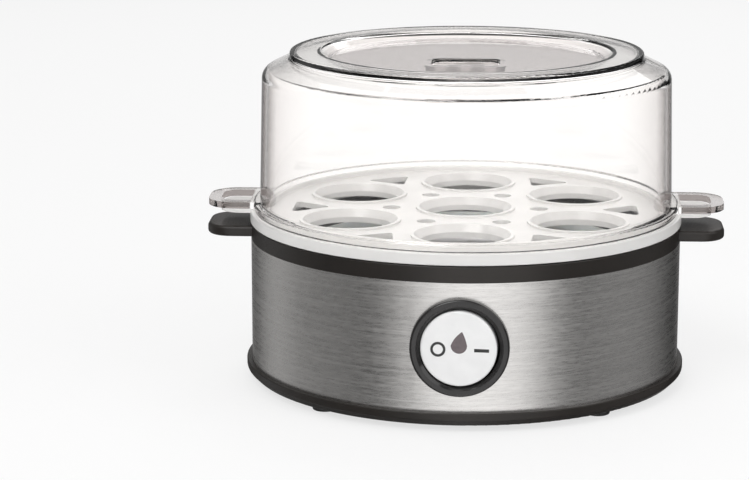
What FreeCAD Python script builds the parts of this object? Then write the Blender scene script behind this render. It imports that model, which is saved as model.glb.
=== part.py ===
import FreeCAD, Part
import math
import os

# Electric steam cooker for seven eggs: a round steel-banded heater base, a lift-off tray with
# seven seat holes and a clear lift-off lid. Millimetres, +Z up, the floor at z = 0, the origin on
# the axis of the round housing, the switch at the front (-Y) and the cord inlet at the back (+Y).

Vector = FreeCAD.Vector
up = Vector(0, 0, 1)
centre = Vector(0, 0, 0)

# Overall sizes
body_radius = 80.0
foot_drop = 2.0
base_ring_overhang = 2.0
base_ring_height = 5.0
band_height = 47.8
band_seat_depth = 1.6
collar_height = 5.9
tray_skirt_height = 4.1
lid_height = 59.3
ear_length = 16.0
ear_width = 28.0

# Clearances: between bodies that part, inside one body, and past a face that a cut goes through
lift_gap = 0.3
seat_play = 0.05
overrun = 1.0

# How much of a straight run its corner arcs may use, for outlines and for leads, and how deep a
# flange on the band reaches before the band's curve trims it
corner_reach_share = 0.49
lead_bend_share = 0.45
saddle_blank_depth = 8.0

# Base pan
pan_floor_thickness = 2.0
pan_floor_lift = 1.6
pan_rim_height = 5.6
pan_rim_wall = 1.9
ring_bottom_width = 3.3
ring_toe_slope = 2.4
vent_count = 7
vent_pitch = 6.0
vent_width = 2.2
vent_length = 22.0
vent_y = -30.0

# Feet and the screws that close the housing
foot_radius = 5.0
foot_inset = 7.2
foot_angle = 42.0
foot_taper = 0.5
foot_stem_radius = 2.0
foot_barb_height = 1.8
foot_barb_overhang = 0.8
housing_screw_inset = 7.0
housing_screw_angle = 20.0
housing_boss_radius = 4.4
housing_boss_top = 12.0
housing_head_seat = 8.0
head_radius = 2.9
head_height = 2.0
shank_radius = 1.5
shank_length = 13.0
shank_hole_play = 0.3
post_radius = 3.4
post_bore_spare = 2.0

# Steel band
band_thickness = 0.6

# Top collar
collar_wall = 4.4
collar_spigot_depth = 7.2
collar_spigot_wall = 1.9
basin_slope = 2.2
ledge_drop = 11.1
ledge_thickness = 2.4
ledge_rise = 2.6
ledge_width = 9.4
ledge_seat_width = 6.5
basin_wall_height = 4.6
ear_thickness = 4.0
ear_top_drop = 1.1
ear_corner = 9.0
ear_edge_round = 1.2

# Heating plate, its gasket and the clips that hold it
gasket_thickness = 1.2
gasket_lip_wall = 1.2
gasket_lip_stand = 0.2
gasket_side_gap = 0.2
plate_thickness = 1.2
plate_seat_width = 4.0
plate_flange_width = 6.4
plate_depth = 6.8
plate_wall_slope = 4.8
clip_offset = 4.6
clip_angle = 45.0
clip_boss_radius = 3.0
clip_boss_drop = 5.0
clip_thickness = 1.2
clip_width = 8.0
clip_reach = 7.4
clip_screw_radius = 1.2
clip_screw_length = 4.5
clip_head_radius = 2.5
clip_head_height = 1.7

# Heating element
element_ring_share = 0.705
element_tube_radius = 3.3
element_flat = 0.3
element_half_gap = 35.0
cold_end_drop = 5.0
seal_radius = 2.6
seal_height = 3.0
pin_radius = 1.0
pin_length = 2.6
tag_width = 5.0
tag_thickness = 0.8
tag_length = 7.0

# Thermostat under the middle of the plate
thermostat_radius = 8.0
thermostat_cap_height = 2.6
thermostat_flange = 1.0
thermostat_flange_height = 0.8
thermostat_body_height = 6.6
blade_thickness = 0.8
blade_width = 6.3
blade_length = 8.0
blade_lift = 1.6
bracket_half_length = 18.5
bracket_width = 21.0
bracket_thickness = 0.8
stud_offset = 14.5
stud_radius = 1.5
stud_length = 8.4
nut_across_flats = 5.5
nut_height = 2.4
earth_tag_width = 6.0
earth_tag_reach = 9.0
earth_tag_thickness = 0.4

# Thermal fuse in front of the thermostat, placed by shares of the element's radius
fuse_radius = 2.1
fuse_length = 12.0
fuse_place_shares = (0.25, -0.6)
fuse_clip_thickness = 0.6
fuse_clip_width = 5.0
fuse_clip_wing = 3.0

# Switch at the front
switch_z = 30.5
bezel_barrel_radius = 15.1
bezel_barrel_wall = 1.1
bezel_flange_width = 2.3
bezel_proud = 2.6
bezel_barrel_depth = 10.6
bezel_lip_step = 1.2
bezel_edge_round = 0.9
band_hole_play = 0.15
hook_reach = 0.9
hook_depth = 2.0
hook_width = 6.0
housing_cup_play = 0.1
housing_cup_depth = 9.5
housing_cup_wall = 1.6
housing_cup_nose = 2.6
housing_cup_flange = 1.2
housing_body_inset = 3.5
rocker_gap = 0.6
rocker_face_thickness = 1.6
rocker_skirt_depth = 5.2
rocker_skirt_wall = 1.3
rocker_edge_round = 0.7
rocker_swing = 10.0
pivot_depth = 4.6
trunnion_radius = 1.2
trunnion_play = 0.05
trunnion_grip = 0.9
stem_radius = 3.0
stem_length = 9.0
plunger_radius = 1.9
plunger_play = 0.1
plunger_length = 6.0
plunger_tip_share = 0.7
spring_wall = 0.5
spring_length = 3.6
plunger_gap = 0.4
lever_thickness = 0.8
lever_end_gap = 1.4
lever_width = 6.0
lever_rib_radius = 0.9
lever_swing = 8.0
contact_inset = 1.4
contact_radius = 1.6
contact_height = 0.6
contact_root_share = 0.5
switch_blade_width = 4.8
switch_blade_drop = 3.6
switch_blade_tail = 8.0
drop_radius = 2.85
drop_tip_height = 5.0
drop_lean = 1.1
drop_x = 0.2
drop_z = 1.2
drop_right_shares = (0.8, 0.45)
drop_left_shares = (0.42, 0.58)
lens_flange = 0.7
lens_flange_thickness = 0.8
lamp_radius = 1.7
lamp_length = 8.0
lamp_inset = 3.3

# Terminal block, cord clamp and cord inlet at the back
block_length = 30.0
block_depth = 15.0
block_height = 7.0
block_corner = 1.0
block_tower_height = 4.4
block_tower_width = 7.0
block_tower_share = 0.8
block_gap = 18.0
pole_pitch = 9.0
pole_hole_radius = 1.6
pole_z_share = 0.4
peg_radius = 1.5
peg_height = 2.4
peg_spacing = 24.0
pole_screw_radius = 1.9
pole_screw_height = 2.0
pole_screw_share = 0.225
pole_tower_bore = 2.0
cord_radius = 3.3
cord_z = 19.0
clamp_inset = 17.4
clamp_post_radius = 3.0
clamp_post_spacing = 17.0
clamp_squeeze = 0.6
clamp_bar_thickness = 2.8
clamp_bar_width = 7.0
clamp_screw_radius = 1.2
clamp_screw_length = 6.0
clamp_head_radius = 2.4
clamp_head_height = 1.7
inlet_proud = 3.8
inlet_flange_radius = 8.2
inlet_neck_radius = 5.9
inlet_barb_radius = 7.2
inlet_barb_length = 3.6
inlet_barb_gap = 0.4
inlet_play = 0.1
inlet_bore_play = 0.1

# Egg tray
rim_overhang = 0.35
tray_rim_bead = 0.5
tray_rim_width = 1.15
tray_floor_thickness = 2.0
tray_skirt_wall = 1.9
tray_spigot_depth = 6.0
tray_spigot_wall = 1.8
tray_spigot_gap = 0.4
tray_rib_height = 2.0
tray_rib_wall = 1.1
seat_edge_gap = 6.8
seat_count = 6
seat_hole_radius = 15.5
seat_cone_width = 1.7
seat_ring_width = 1.2
seat_ring_height = 0.8
seat_under_ring = 1.6
seat_under_depth = 2.0
steam_edge_gap = 7.9
steam_length = 15.0
steam_half_angle = 8.5
steam_corner = 1.5
drip_hole_radius = 3.4
drip_circle_share = 0.5765
web_gap = 1.6
web_thickness = 1.2
web_depth = 3.0
tray_ear_length = 10.65
tray_ear_width = 23.0
tray_ear_thickness = 1.8
tray_ear_rise = 0.9
tray_ear_corner = 8.0

# Clear lid
lid_wall = 2.0
lid_inner_step_share = 0.45
lid_rim_gap = 0.5
lid_flange_height = 2.8
lid_flange_width = 2.1
lid_foot_gap = 0.6
lid_draft = 1.1
lid_shoulder_width = 10.3
lid_disc_step = 2.4
lid_shoulder_drop = 7.4
lid_shoulder_round = 4.0
lid_annulus = 11.2
lid_recess_slope = 3.5
lid_recess_depth = 2.8
lid_recess_round = 1.2
lid_small_round = 0.8
loop_length = 17.0
loop_width = 28.4
loop_thickness = 2.4
loop_corner = 10.5
loop_bar = 4.7
loop_root_bar = 0.9
loop_slot_corner = 6.0
vent_pocket_width = 25.0
vent_pocket_length = 16.5
vent_pocket_back = -3.5
vent_pocket_depth = 2.0
vent_pocket_corner = 3.0
vent_slot_width = 4.6
vent_slot_length = 10.5
vent_slot_pitch = 8.7
vent_slot_count = 3

# Leads inside the housing, and the body radius that their bends are laid out for
lead_radius = 1.1
lead_entry = 3.0
lead_run = 5.8
tag_run = 11.0
lead_layout_radius = 80.0
live_bends = [(-9.0, 27.0, 8.4), (-17.0, 13.0, 8.4), (-19.0, -7.0, 9.5), (-14.0, -25.0, 14.0),
              (-7.2, -38.0, 22.0)]
switched_bends = [(12.0, -37.0, 26.0), (24.0, -25.0, 27.0)]
fuse_bends = [(0.0, -24.0, 34.3)]
element_bends = [(-8.0, 22.0, 27.0), (-17.0, 13.5, 24.0)]
neutral_bends = [(9.0, 28.0, 8.6), (13.0, 16.0, 9.0), (20.0, 8.0, 14.0)]
earth_bends = [(0.0, 30.0, 8.6), (3.0, 21.0, 11.0), (10.0, 17.0, 18.0), (14.0, 21.0, 26.0),
               (14.5, 18.0, 31.6)]

# Heights and places that follow from the sizes above
ring_bottom = foot_drop
ring_top = ring_bottom + base_ring_height
band_bottom = ring_top - band_seat_depth
band_top = band_bottom + band_height
collar_top = band_top + collar_height
pan_floor_bottom = ring_bottom + pan_floor_lift
pan_floor_top = pan_floor_bottom + pan_floor_thickness
tray_bottom = collar_top + lift_gap
tray_rim_top = tray_bottom + tray_skirt_height
tray_floor_top = tray_rim_top - tray_rim_bead
tray_floor_bottom = tray_floor_top - tray_floor_thickness
lid_bottom = tray_floor_top + lift_gap
lid_top = lid_bottom + lid_height
ledge_top = collar_top - ledge_drop
ledge_bottom = ledge_top - ledge_thickness
gasket_bottom = ledge_bottom - gasket_thickness
flange_bottom = gasket_bottom - plate_thickness
plate_floor_top = gasket_bottom - plate_depth
plate_floor_bottom = plate_floor_top - plate_thickness
clip_boss_bottom = ledge_bottom - clip_boss_drop
element_z = plate_floor_bottom + element_flat - element_tube_radius
bracket_top = plate_floor_bottom - thermostat_cap_height - thermostat_flange_height
bracket_bottom = bracket_top - bracket_thickness
band_inner_radius = body_radius - band_thickness
collar_inner_radius = body_radius - collar_wall
ear_reach = body_radius + ear_length
foot_circle_radius = body_radius - foot_inset
housing_screw_circle = band_inner_radius - housing_screw_inset
ledge_outer_radius = collar_inner_radius - basin_slope
ledge_inner_radius = ledge_outer_radius - ledge_width
plate_flange_radius = ledge_inner_radius + plate_seat_width
plate_bend_radius = plate_flange_radius - plate_flange_width
plate_floor_radius = plate_bend_radius - plate_wall_slope
clip_circle = plate_flange_radius + clip_offset
element_ring_radius = plate_floor_radius * element_ring_share
fuse_x, fuse_y = [element_ring_radius * share for share in fuse_place_shares]
fuse_z = plate_floor_bottom - fuse_radius
bezel_radius = bezel_barrel_radius + bezel_flange_width
bezel_opening_radius = bezel_barrel_radius - bezel_barrel_wall
rocker_radius = bezel_opening_radius - rocker_gap
rocker_inner_radius = rocker_radius - rocker_skirt_wall
trunnion_reach = bezel_opening_radius + trunnion_grip
housing_body_radius = bezel_barrel_radius - housing_body_inset
housing_inner_radius = housing_body_radius - housing_cup_wall
lever_half_length = housing_inner_radius - lever_end_gap
contact_x = lever_half_length - contact_inset
lamp_rise = rocker_inner_radius - lamp_inset
face_y = -(body_radius + bezel_proud)
pivot_y = face_y + pivot_depth
barrel_back_y = face_y + bezel_barrel_depth
cup_back_y = barrel_back_y + housing_cup_depth
plunger_tip_y = pivot_y + stem_length
lever_front_y = plunger_tip_y + plunger_gap
lever_back_y = lever_front_y + lever_thickness
switch_tail_y = cup_back_y + switch_blade_tail
clamp_y = band_inner_radius - clamp_inset
block_y = clamp_y - block_gap
block_front_y = block_y - block_depth / 2
pole_z = pan_floor_top + block_height * pole_z_share
tray_rim_radius = body_radius + rim_overhang
tray_rim_inner = tray_rim_radius - tray_rim_width
tray_ear_reach = tray_rim_radius + tray_ear_length
lid_flange_radius = tray_rim_inner - lid_rim_gap
lid_foot_radius = lid_flange_radius - lid_flange_width
lid_shoulder_radius = lid_foot_radius - lid_draft
lid_disc_radius = lid_shoulder_radius - lid_shoulder_width
lid_recess_radius = lid_disc_radius - lid_annulus
loop_reach = lid_flange_radius + loop_length
loop_slot_start = lid_flange_radius + loop_root_bar
rib_outer_radius = lid_foot_radius - lid_wall - lid_foot_gap
rib_inner_radius = rib_outer_radius - tray_rib_wall
seat_cone_radius = seat_hole_radius + seat_cone_width
seat_circle_radius = rib_inner_radius - seat_edge_gap - seat_cone_radius - seat_ring_width
steam_outer_radius = rib_inner_radius - steam_edge_gap
steam_inner_radius = steam_outer_radius - steam_length
drip_circle_radius = seat_circle_radius * drip_circle_share
web_inner_radius = drip_circle_radius + drip_hole_radius + web_gap
web_outer_radius = steam_inner_radius - web_gap


def corner_edges(points, radii, closed):
    """Straight runs through the points, with a tangent arc of the given radius at each corner."""
    count = len(points)
    entries = []
    for index in range(count):
        here = points[index]
        end_point = not closed and index in (0, count - 1)
        if end_point or radii[index] <= 0:
            entries.append((here, None, here))
            continue
        before = points[index - 1] - here
        after = points[(index + 1) % count] - here
        turn = math.pi - before.getAngle(after)
        reach = radii[index] * math.tan(turn / 2)
        reach = min(reach, before.Length * corner_reach_share, after.Length * corner_reach_share)
        radius = reach / math.tan(turn / 2)
        before.normalize()
        after.normalize()
        inward = before + after
        inward.normalize()
        middle = here + inward * (radius / math.cos(turn / 2) - radius)
        entries.append((here + before * reach, middle, here + after * reach))
    edges = []
    for index in range(count):
        start, middle, end = entries[index]
        if middle is not None:
            edges.append(Part.Arc(start, middle, end).toShape())
        if index + 1 < count or closed:
            following = entries[(index + 1) % count][0]
            if end.distanceToPoint(following) > 1e-6:
                edges.append(Part.LineSegment(end, following).toShape())
    return edges


def turned(outline, axis_y=False):
    """A solid turned about Z, or about Y, from (radius, height, corner radius) points."""
    if axis_y:
        points = [Vector(radius, height, 0) for radius, height, _ in outline]
        axis = Vector(0, 1, 0)
    else:
        points = [Vector(radius, 0, height) for radius, height, _ in outline]
        axis = up
    wire = Part.Wire(corner_edges(points, [corner for _, _, corner in outline], True))
    return Part.Face(wire).revolve(centre, axis, 360)


def slab(outline, bottom, thickness):
    """A flat plate at a height, from (x, y, corner radius) points."""
    points = [Vector(x, y, bottom) for x, y, _ in outline]
    wire = Part.Wire(corner_edges(points, [corner for _, _, corner in outline], True))
    return Part.Face(wire).extrude(up * thickness)


def box(low_x, high_x, low_y, high_y, low_z, high_z):
    """A block between two corners."""
    return Part.makeBox(high_x - low_x, high_y - low_y, high_z - low_z, Vector(low_x, low_y, low_z))


def drum(radius, bottom, top, x=0, y=0):
    """An upright cylinder."""
    return Part.makeCylinder(radius, top - bottom, Vector(x, y, bottom))


def pipe_ring(inner_radius, outer_radius, bottom, top, x=0, y=0):
    """An upright ring with a square section."""
    return drum(outer_radius, bottom, top, x, y).cut(drum(inner_radius, bottom, top, x, y))


def along_y(radius, low_y, high_y, x, z):
    """A cylinder that lies along Y."""
    return Part.makeCylinder(radius, high_y - low_y, Vector(x, low_y, z), Vector(0, 1, 0))


def along_x(radius, low_x, high_x, y, z):
    """A cylinder that lies along X."""
    return Part.makeCylinder(radius, high_x - low_x, Vector(low_x, y, z), Vector(1, 0, 0))


def fused(shapes):
    """One solid made of shapes that share volume."""
    joined = shapes[0].multiFuse(shapes[1:])
    return joined.removeSplitter()


def turned_copy(shape, angle):
    """A copy turned about the housing's axis."""
    copy = shape.copy()
    copy.rotate(centre, up, angle)
    return copy


def polar(radius, angle):
    """X and Y of a place on a circle round the housing's axis."""
    return radius * math.cos(math.radians(angle)), radius * math.sin(math.radians(angle))


def mirrored_angles(angle):
    """The four places that one angle from the X axis gives, left, right, front and back."""
    return [angle, 180 - angle, 180 + angle, -angle]


housing_screw_places = [polar(housing_screw_circle, a) for a in mirrored_angles(housing_screw_angle)]
clip_angles = mirrored_angles(clip_angle)
clip_places = [polar(clip_circle, a) for a in clip_angles]
foot_places = [polar(foot_circle_radius, a) for a in mirrored_angles(90.0 - foot_angle)]
clamp_places = [(-clamp_post_spacing / 2, clamp_y), (clamp_post_spacing / 2, clamp_y)]
peg_places = [(-peg_spacing / 2, block_y), (peg_spacing / 2, block_y)]
clamp_bar_bottom = cord_z + cord_radius - clamp_squeeze


def make_base_pan():
    """The moulded bottom: floor, outer ring with the band's groove, bosses, saddle and vents."""
    ring_radius = body_radius + base_ring_overhang
    groove_inner = band_inner_radius - seat_play
    groove_outer = body_radius + seat_play
    rim_inner = groove_inner - pan_rim_wall
    toe_radius = ring_radius - ring_toe_slope
    pan = turned([
        (0, pan_floor_bottom, 0),
        (toe_radius - ring_bottom_width - pan_floor_lift, pan_floor_bottom, pan_floor_lift / 2),
        (toe_radius - ring_bottom_width, ring_bottom, pan_floor_lift / 4),
        (toe_radius, ring_bottom, ring_toe_slope / 2),
        (ring_radius, ring_bottom + ring_toe_slope, ring_toe_slope / 2),
        (ring_radius, ring_top, base_ring_overhang / 5),
        (groove_outer, ring_top, 0),
        (groove_outer, band_bottom, 0),
        (groove_inner, band_bottom, 0),
        (groove_inner, band_bottom + pan_rim_height, pan_rim_wall / 4),
        (rim_inner, band_bottom + pan_rim_height, pan_rim_wall / 4),
        (rim_inner, pan_floor_top, pan_floor_thickness / 2),
        (0, pan_floor_top, 0),
    ])
    sunk = pan_floor_thickness / 2
    solids = [pan]
    for x, y in housing_screw_places:
        solids.append(drum(housing_boss_radius, pan_floor_top - sunk, housing_boss_top, x, y))
    for x, y in clamp_places:
        solids.append(drum(clamp_post_radius, pan_floor_top - sunk, clamp_bar_bottom, x, y))
    for x, y in peg_places:
        solids.append(drum(peg_radius, pan_floor_top - sunk, pan_floor_top + peg_height, x, y))
    half_saddle = clamp_post_spacing / 2
    half_depth = clamp_post_radius / 2
    saddle = box(-half_saddle, half_saddle, clamp_y - half_depth, clamp_y + half_depth,
                 pan_floor_top - sunk, cord_z)
    saddle = saddle.cut(along_y(cord_radius, clamp_y - half_saddle, clamp_y + half_saddle, 0, cord_z))
    solids.append(saddle)
    pan = fused(solids)
    cuts = []
    for x, y in housing_screw_places:
        cuts.append(drum(head_radius + shank_hole_play, ring_bottom - overrun, housing_head_seat, x, y))
        cuts.append(drum(shank_radius + shank_hole_play, ring_bottom, housing_boss_top + overrun, x, y))
    for x, y in foot_places:
        cuts.append(drum(foot_radius + seat_play, ring_bottom - overrun, pan_floor_bottom, x, y))
        cuts.append(drum(foot_stem_radius + seat_play, ring_bottom, pan_floor_top + overrun, x, y))
    for x, y in clamp_places:
        cuts.append(drum(clamp_screw_radius, clamp_bar_bottom - clamp_screw_length - overrun,
                         clamp_bar_bottom + overrun, x, y))
    for index in range(vent_count):
        x = (index - (vent_count - 1) / 2) * vent_pitch
        half = vent_width / 2
        low = vent_y - vent_length / 2
        high = vent_y + vent_length / 2
        cuts.append(slab([(x - half, low, half), (x + half, low, half), (x + half, high, half),
                          (x - half, high, half)], pan_floor_bottom - overrun,
                         pan_floor_thickness + 2 * overrun))
    return pan.cut(cuts)


def make_rubber_feet():
    """Four rubber buttons, each held by a barbed stem through the pan's floor."""
    feet = []
    barb_radius = foot_stem_radius + foot_barb_overhang
    for x, y in foot_places:
        foot = turned([
            (0, 0, 0),
            (foot_radius - foot_taper, 0, foot_taper),
            (foot_radius, pan_floor_bottom, 0),
            (foot_stem_radius, pan_floor_bottom, 0),
            (foot_stem_radius, pan_floor_top, 0),
            (barb_radius, pan_floor_top, 0),
            (foot_stem_radius, pan_floor_top + foot_barb_height, foot_barb_overhang / 2),
            (0, pan_floor_top + foot_barb_height, 0),
        ])
        foot.translate(Vector(x, y, 0))
        feet.append(foot)
    return Part.makeCompound(feet)


def screw(x, y, seat, head, head_tall, shank, length, upward):
    """A pan-head screw whose head bears on a seat and whose shank runs up or down from it."""
    direction = 1 if upward else -1
    outline = [
        (0, seat - direction * head_tall, 0),
        (head, seat - direction * head_tall, head_tall / 2),
        (head, seat, 0),
        (shank, seat, 0),
        (shank, seat + direction * length, shank / 3),
        (0, seat + direction * length, 0),
    ]
    solid = turned(outline)
    solid.translate(Vector(x, y, 0))
    return solid


def make_housing_screws():
    """Four screws from below that pull the pan to the collar's posts."""
    return Part.makeCompound([
        screw(x, y, housing_head_seat, head_radius, head_height, shank_radius, shank_length, True)
        for x, y in housing_screw_places])


def make_outer_band():
    """The rolled steel band, holed for the switch at the front and the cord inlet at the back."""
    band = pipe_ring(band_inner_radius, body_radius, band_bottom, band_top)
    switch_hole = along_y(bezel_barrel_radius + band_hole_play, -body_radius - overrun,
                          -band_inner_radius / 2, 0, switch_z)
    inlet_hole = along_y(inlet_neck_radius + inlet_play, band_inner_radius / 2,
                         body_radius + overrun, 0, cord_z)
    return band.cut([switch_hole, inlet_hole])


def ear_plate(start, reach, width, corner, bottom, thickness):
    """A flat lug that points along +X, with rounded outer corners."""
    half = width / 2
    return slab([(start, -half, 0), (reach, -half, corner), (reach, half, corner), (start, half, 0)],
                bottom, thickness)


def make_top_collar():
    """The black top moulding: rim, basin wall, ledge over the plate, two ears and the screw posts."""
    spigot_outer = band_inner_radius - seat_play
    spigot_inner = spigot_outer - collar_spigot_wall
    basin_foot = collar_top - basin_wall_height
    seat_outer = ledge_inner_radius + ledge_seat_width
    collar = turned([
        (body_radius, band_top, 0),
        (body_radius, collar_top, collar_wall / 8),
        (collar_inner_radius, collar_top, collar_wall / 8),
        (collar_inner_radius, basin_foot, ledge_thickness),
        (ledge_outer_radius, ledge_top + ledge_rise, ledge_thickness),
        (ledge_inner_radius, ledge_top, ledge_thickness / 5),
        (ledge_inner_radius, ledge_bottom, 0),
        (seat_outer, ledge_bottom, 0),
        (spigot_inner, basin_foot - ledge_thickness - collar_spigot_wall, collar_spigot_wall / 2),
        (spigot_inner, band_top - collar_spigot_depth, 0),
        (spigot_outer, band_top - collar_spigot_depth, 0),
        (spigot_outer, band_top, 0),
    ])
    solids = [collar]
    ear_bottom = collar_top - ear_top_drop - ear_thickness
    ear = ear_plate(collar_inner_radius + collar_wall / 2, ear_reach, ear_width, ear_corner,
                    ear_bottom, ear_thickness)
    outer_edges = [edge for edge in ear.Edges
                   if edge.BoundBox.ZLength < ear_edge_round / 10
                   and edge.BoundBox.XMax > body_radius]
    ear = ear.makeFillet(ear_edge_round, outer_edges)
    solids += [ear, turned_copy(ear, 180)]
    root = ledge_top + ledge_rise / 5
    for x, y in housing_screw_places:
        solids.append(drum(post_radius, housing_boss_top, root, x, y))
    for x, y in clip_places:
        solids.append(drum(clip_boss_radius, clip_boss_bottom, root, x, y))
    collar = fused(solids)
    cuts = []
    for x, y in housing_screw_places:
        depth = shank_length - housing_boss_top + housing_head_seat + post_bore_spare
        cuts.append(drum(shank_radius, housing_boss_top - overrun, housing_boss_top + depth, x, y))
    for x, y in clip_places:
        cuts.append(drum(clip_screw_radius, clip_boss_bottom - overrun,
                         clip_boss_bottom + clip_screw_length, x, y))
    return collar.cut(cuts)


def make_plate_gasket():
    """The silicone ring between the plate's flange and the ledge, with a lip inside the ledge."""
    lip_outer = ledge_inner_radius - gasket_side_gap
    lip_inner = lip_outer - gasket_lip_wall
    return turned([
        (lip_inner, gasket_bottom, 0),
        (plate_flange_radius, gasket_bottom, 0),
        (plate_flange_radius, ledge_bottom, 0),
        (lip_outer, ledge_bottom, 0),
        (lip_outer, ledge_top + gasket_lip_stand, gasket_lip_wall / 3),
        (lip_inner, ledge_top + gasket_lip_stand, gasket_lip_wall / 3),
    ])


def make_heating_plate():
    """The pressed dish that holds the water, with the studs welded under it."""
    inner_bend = plate_thickness * 2
    dish = turned([
        (0, plate_floor_bottom, 0),
        (plate_floor_radius + plate_thickness / 2, plate_floor_bottom, inner_bend + plate_thickness),
        (plate_bend_radius + plate_thickness / 2, flange_bottom, inner_bend),
        (plate_flange_radius, flange_bottom, 0),
        (plate_flange_radius, gasket_bottom, 0),
        (plate_bend_radius, gasket_bottom, inner_bend + plate_thickness),
        (plate_floor_radius, plate_floor_top, inner_bend),
        (0, plate_floor_top, 0),
    ])
    sunk = plate_floor_bottom + plate_thickness / 2
    studs = [drum(stud_radius, plate_floor_bottom - stud_length, sunk, side * stud_offset, 0)
             for side in (-1, 1)]
    return fused([dish] + studs)


def make_plate_clips():
    """Four stepped clips that press the plate's flange up against the gasket."""
    clips = []
    half = clip_width / 2
    inner = clip_circle - clip_reach
    step = inner + clip_reach / 2
    hook_bottom = flange_bottom - clip_thickness
    seat_bottom = clip_boss_bottom - clip_thickness
    profile = [
        Vector(clip_circle + clip_boss_radius, 0, seat_bottom),
        Vector(clip_circle + clip_boss_radius, 0, clip_boss_bottom),
        Vector(step + clip_thickness / 2, 0, clip_boss_bottom),
        Vector(step - clip_thickness / 2, 0, flange_bottom),
        Vector(inner, 0, flange_bottom),
        Vector(inner, 0, hook_bottom),
        Vector(step - clip_thickness, 0, hook_bottom),
        Vector(step, 0, seat_bottom),
    ]
    wire = Part.Wire(corner_edges(profile, [0] * len(profile), True))
    clip = Part.Face(wire).extrude(Vector(0, clip_width, 0))
    clip.translate(Vector(0, -half, 0))
    hole = drum(clip_screw_radius, seat_bottom - overrun, clip_boss_bottom + overrun, clip_circle, 0)
    clip = clip.cut(hole)
    for angle in clip_angles:
        clips.append(turned_copy(clip, angle))
    return Part.makeCompound(clips)


def make_clip_screws():
    """The screws that hold the four clips to the collar's bosses."""
    seat = clip_boss_bottom - clip_thickness
    return Part.makeCompound([
        screw(x, y, seat, clip_head_radius, clip_head_height, clip_screw_radius,
              clip_thickness + clip_screw_length, True)
        for x, y in clip_places])


element_end_angle = 90.0 - element_half_gap
element_end_x, element_end_y = polar(element_ring_radius, element_end_angle)
cold_end_bottom = element_z - cold_end_drop
seal_bottom = cold_end_bottom - seal_height
tag_z = seal_bottom - pin_length


def make_heating_element():
    """The sheathed element: an open ring brazed under the plate, its two ends turned down."""
    section = Part.Wire(Part.Circle(Vector(element_ring_radius, 0, element_z), Vector(0, 1, 0),
                                    element_tube_radius).toShape())
    ring = Part.Face(section).revolve(centre, up, 360 - 2 * element_half_gap)
    ring.rotate(centre, up, 90.0 + element_half_gap)
    solids = [ring]
    for side in (-1, 1):
        x = side * element_end_x
        elbow = Part.makeSphere(element_tube_radius, Vector(x, element_end_y, element_z))
        solids += [elbow, drum(element_tube_radius, cold_end_bottom, element_z, x, element_end_y)]
    element = fused(solids)
    width = 2 * (element_ring_radius + element_tube_radius) + overrun
    above = box(-width, width, -width, width, plate_floor_bottom, plate_floor_bottom + element_tube_radius)
    return element.cut(above)


def make_element_terminals():
    """The seal, pin and connecting tag at each cold end."""
    parts = []
    for side in (-1, 1):
        x = side * element_end_x
        seal = drum(seal_radius, seal_bottom, cold_end_bottom, x, element_end_y)
        pin = drum(pin_radius, tag_z, seal_bottom, x, element_end_y)
        half = tag_width / 2
        front = element_end_y - tag_length
        back = element_end_y + half
        tag = slab([(x - half, front, half / 2), (x + half, front, half / 2), (x + half, back, half),
                    (x - half, back, half)], tag_z - tag_thickness, tag_thickness)
        parts.append(fused([seal, pin, tag]))
    return Part.makeCompound(parts)


blade_top = bracket_top - thermostat_body_height + blade_lift + blade_thickness
blade_end_y = thermostat_radius + blade_length - overrun


def make_thermostat():
    """The disc thermostat: a metal cap against the plate, a moulded body and two blades."""
    cap_bottom = plate_floor_bottom - thermostat_cap_height
    flange_low = cap_bottom - thermostat_flange_height
    body_bottom = flange_low - thermostat_body_height
    can = turned([
        (0, body_bottom, 0),
        (thermostat_radius, body_bottom, thermostat_flange),
        (thermostat_radius, flange_low, 0),
        (thermostat_radius + thermostat_flange, flange_low, 0),
        (thermostat_radius + thermostat_flange, cap_bottom, thermostat_flange_height / 4),
        (thermostat_radius, cap_bottom, 0),
        (thermostat_radius, plate_floor_bottom, thermostat_flange / 2),
        (0, plate_floor_bottom, 0),
    ])
    half = blade_width / 2
    blades = []
    for side in (-1, 1):
        inner = side * thermostat_radius / 2
        low_y = min(inner, side * blade_end_y)
        high_y = max(inner, side * blade_end_y)
        blades.append(box(-half, half, low_y, high_y, blade_top - blade_thickness, blade_top))
    return fused([can] + blades)


def make_thermostat_bracket():
    """The strap that carries the thermostat's flange on the two studs."""
    half = bracket_width / 2
    strap = slab([(-bracket_half_length, -half / 2, half / 4), (-thermostat_radius, -half, half / 4),
                  (thermostat_radius, -half, half / 4), (bracket_half_length, -half / 2, half / 4),
                  (bracket_half_length, half / 2, half / 4), (thermostat_radius, half, half / 4),
                  (-thermostat_radius, half, half / 4), (-bracket_half_length, half / 2, half / 4)],
                 bracket_bottom, bracket_thickness)
    cuts = [drum(thermostat_radius + seat_play, bracket_bottom - overrun, bracket_top + overrun)]
    for side in (-1, 1):
        cuts.append(drum(stud_radius + seat_play, bracket_bottom - overrun, bracket_top + overrun,
                         side * stud_offset, 0))
    return strap.cut(cuts)


def hexagon(across_flats, bottom, thickness, x, y, bore):
    """A nut."""
    corner = across_flats / math.sqrt(3)
    outline = [(x + corner * math.cos(math.radians(60 * i)), y + corner * math.sin(math.radians(60 * i)), 0)
               for i in range(6)]
    nut = slab(outline, bottom, thickness)
    return nut.cut(drum(bore, bottom - overrun, bottom + thickness + overrun, x, y))


def make_bracket_nuts():
    """The nuts under the bracket; the right one also holds the earth tag."""
    left = hexagon(nut_across_flats, bracket_bottom - nut_height, nut_height, -stud_offset, 0, stud_radius)
    right = hexagon(nut_across_flats, bracket_bottom - earth_tag_thickness - nut_height, nut_height,
                    stud_offset, 0, stud_radius)
    return Part.makeCompound([left, right])


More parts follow.
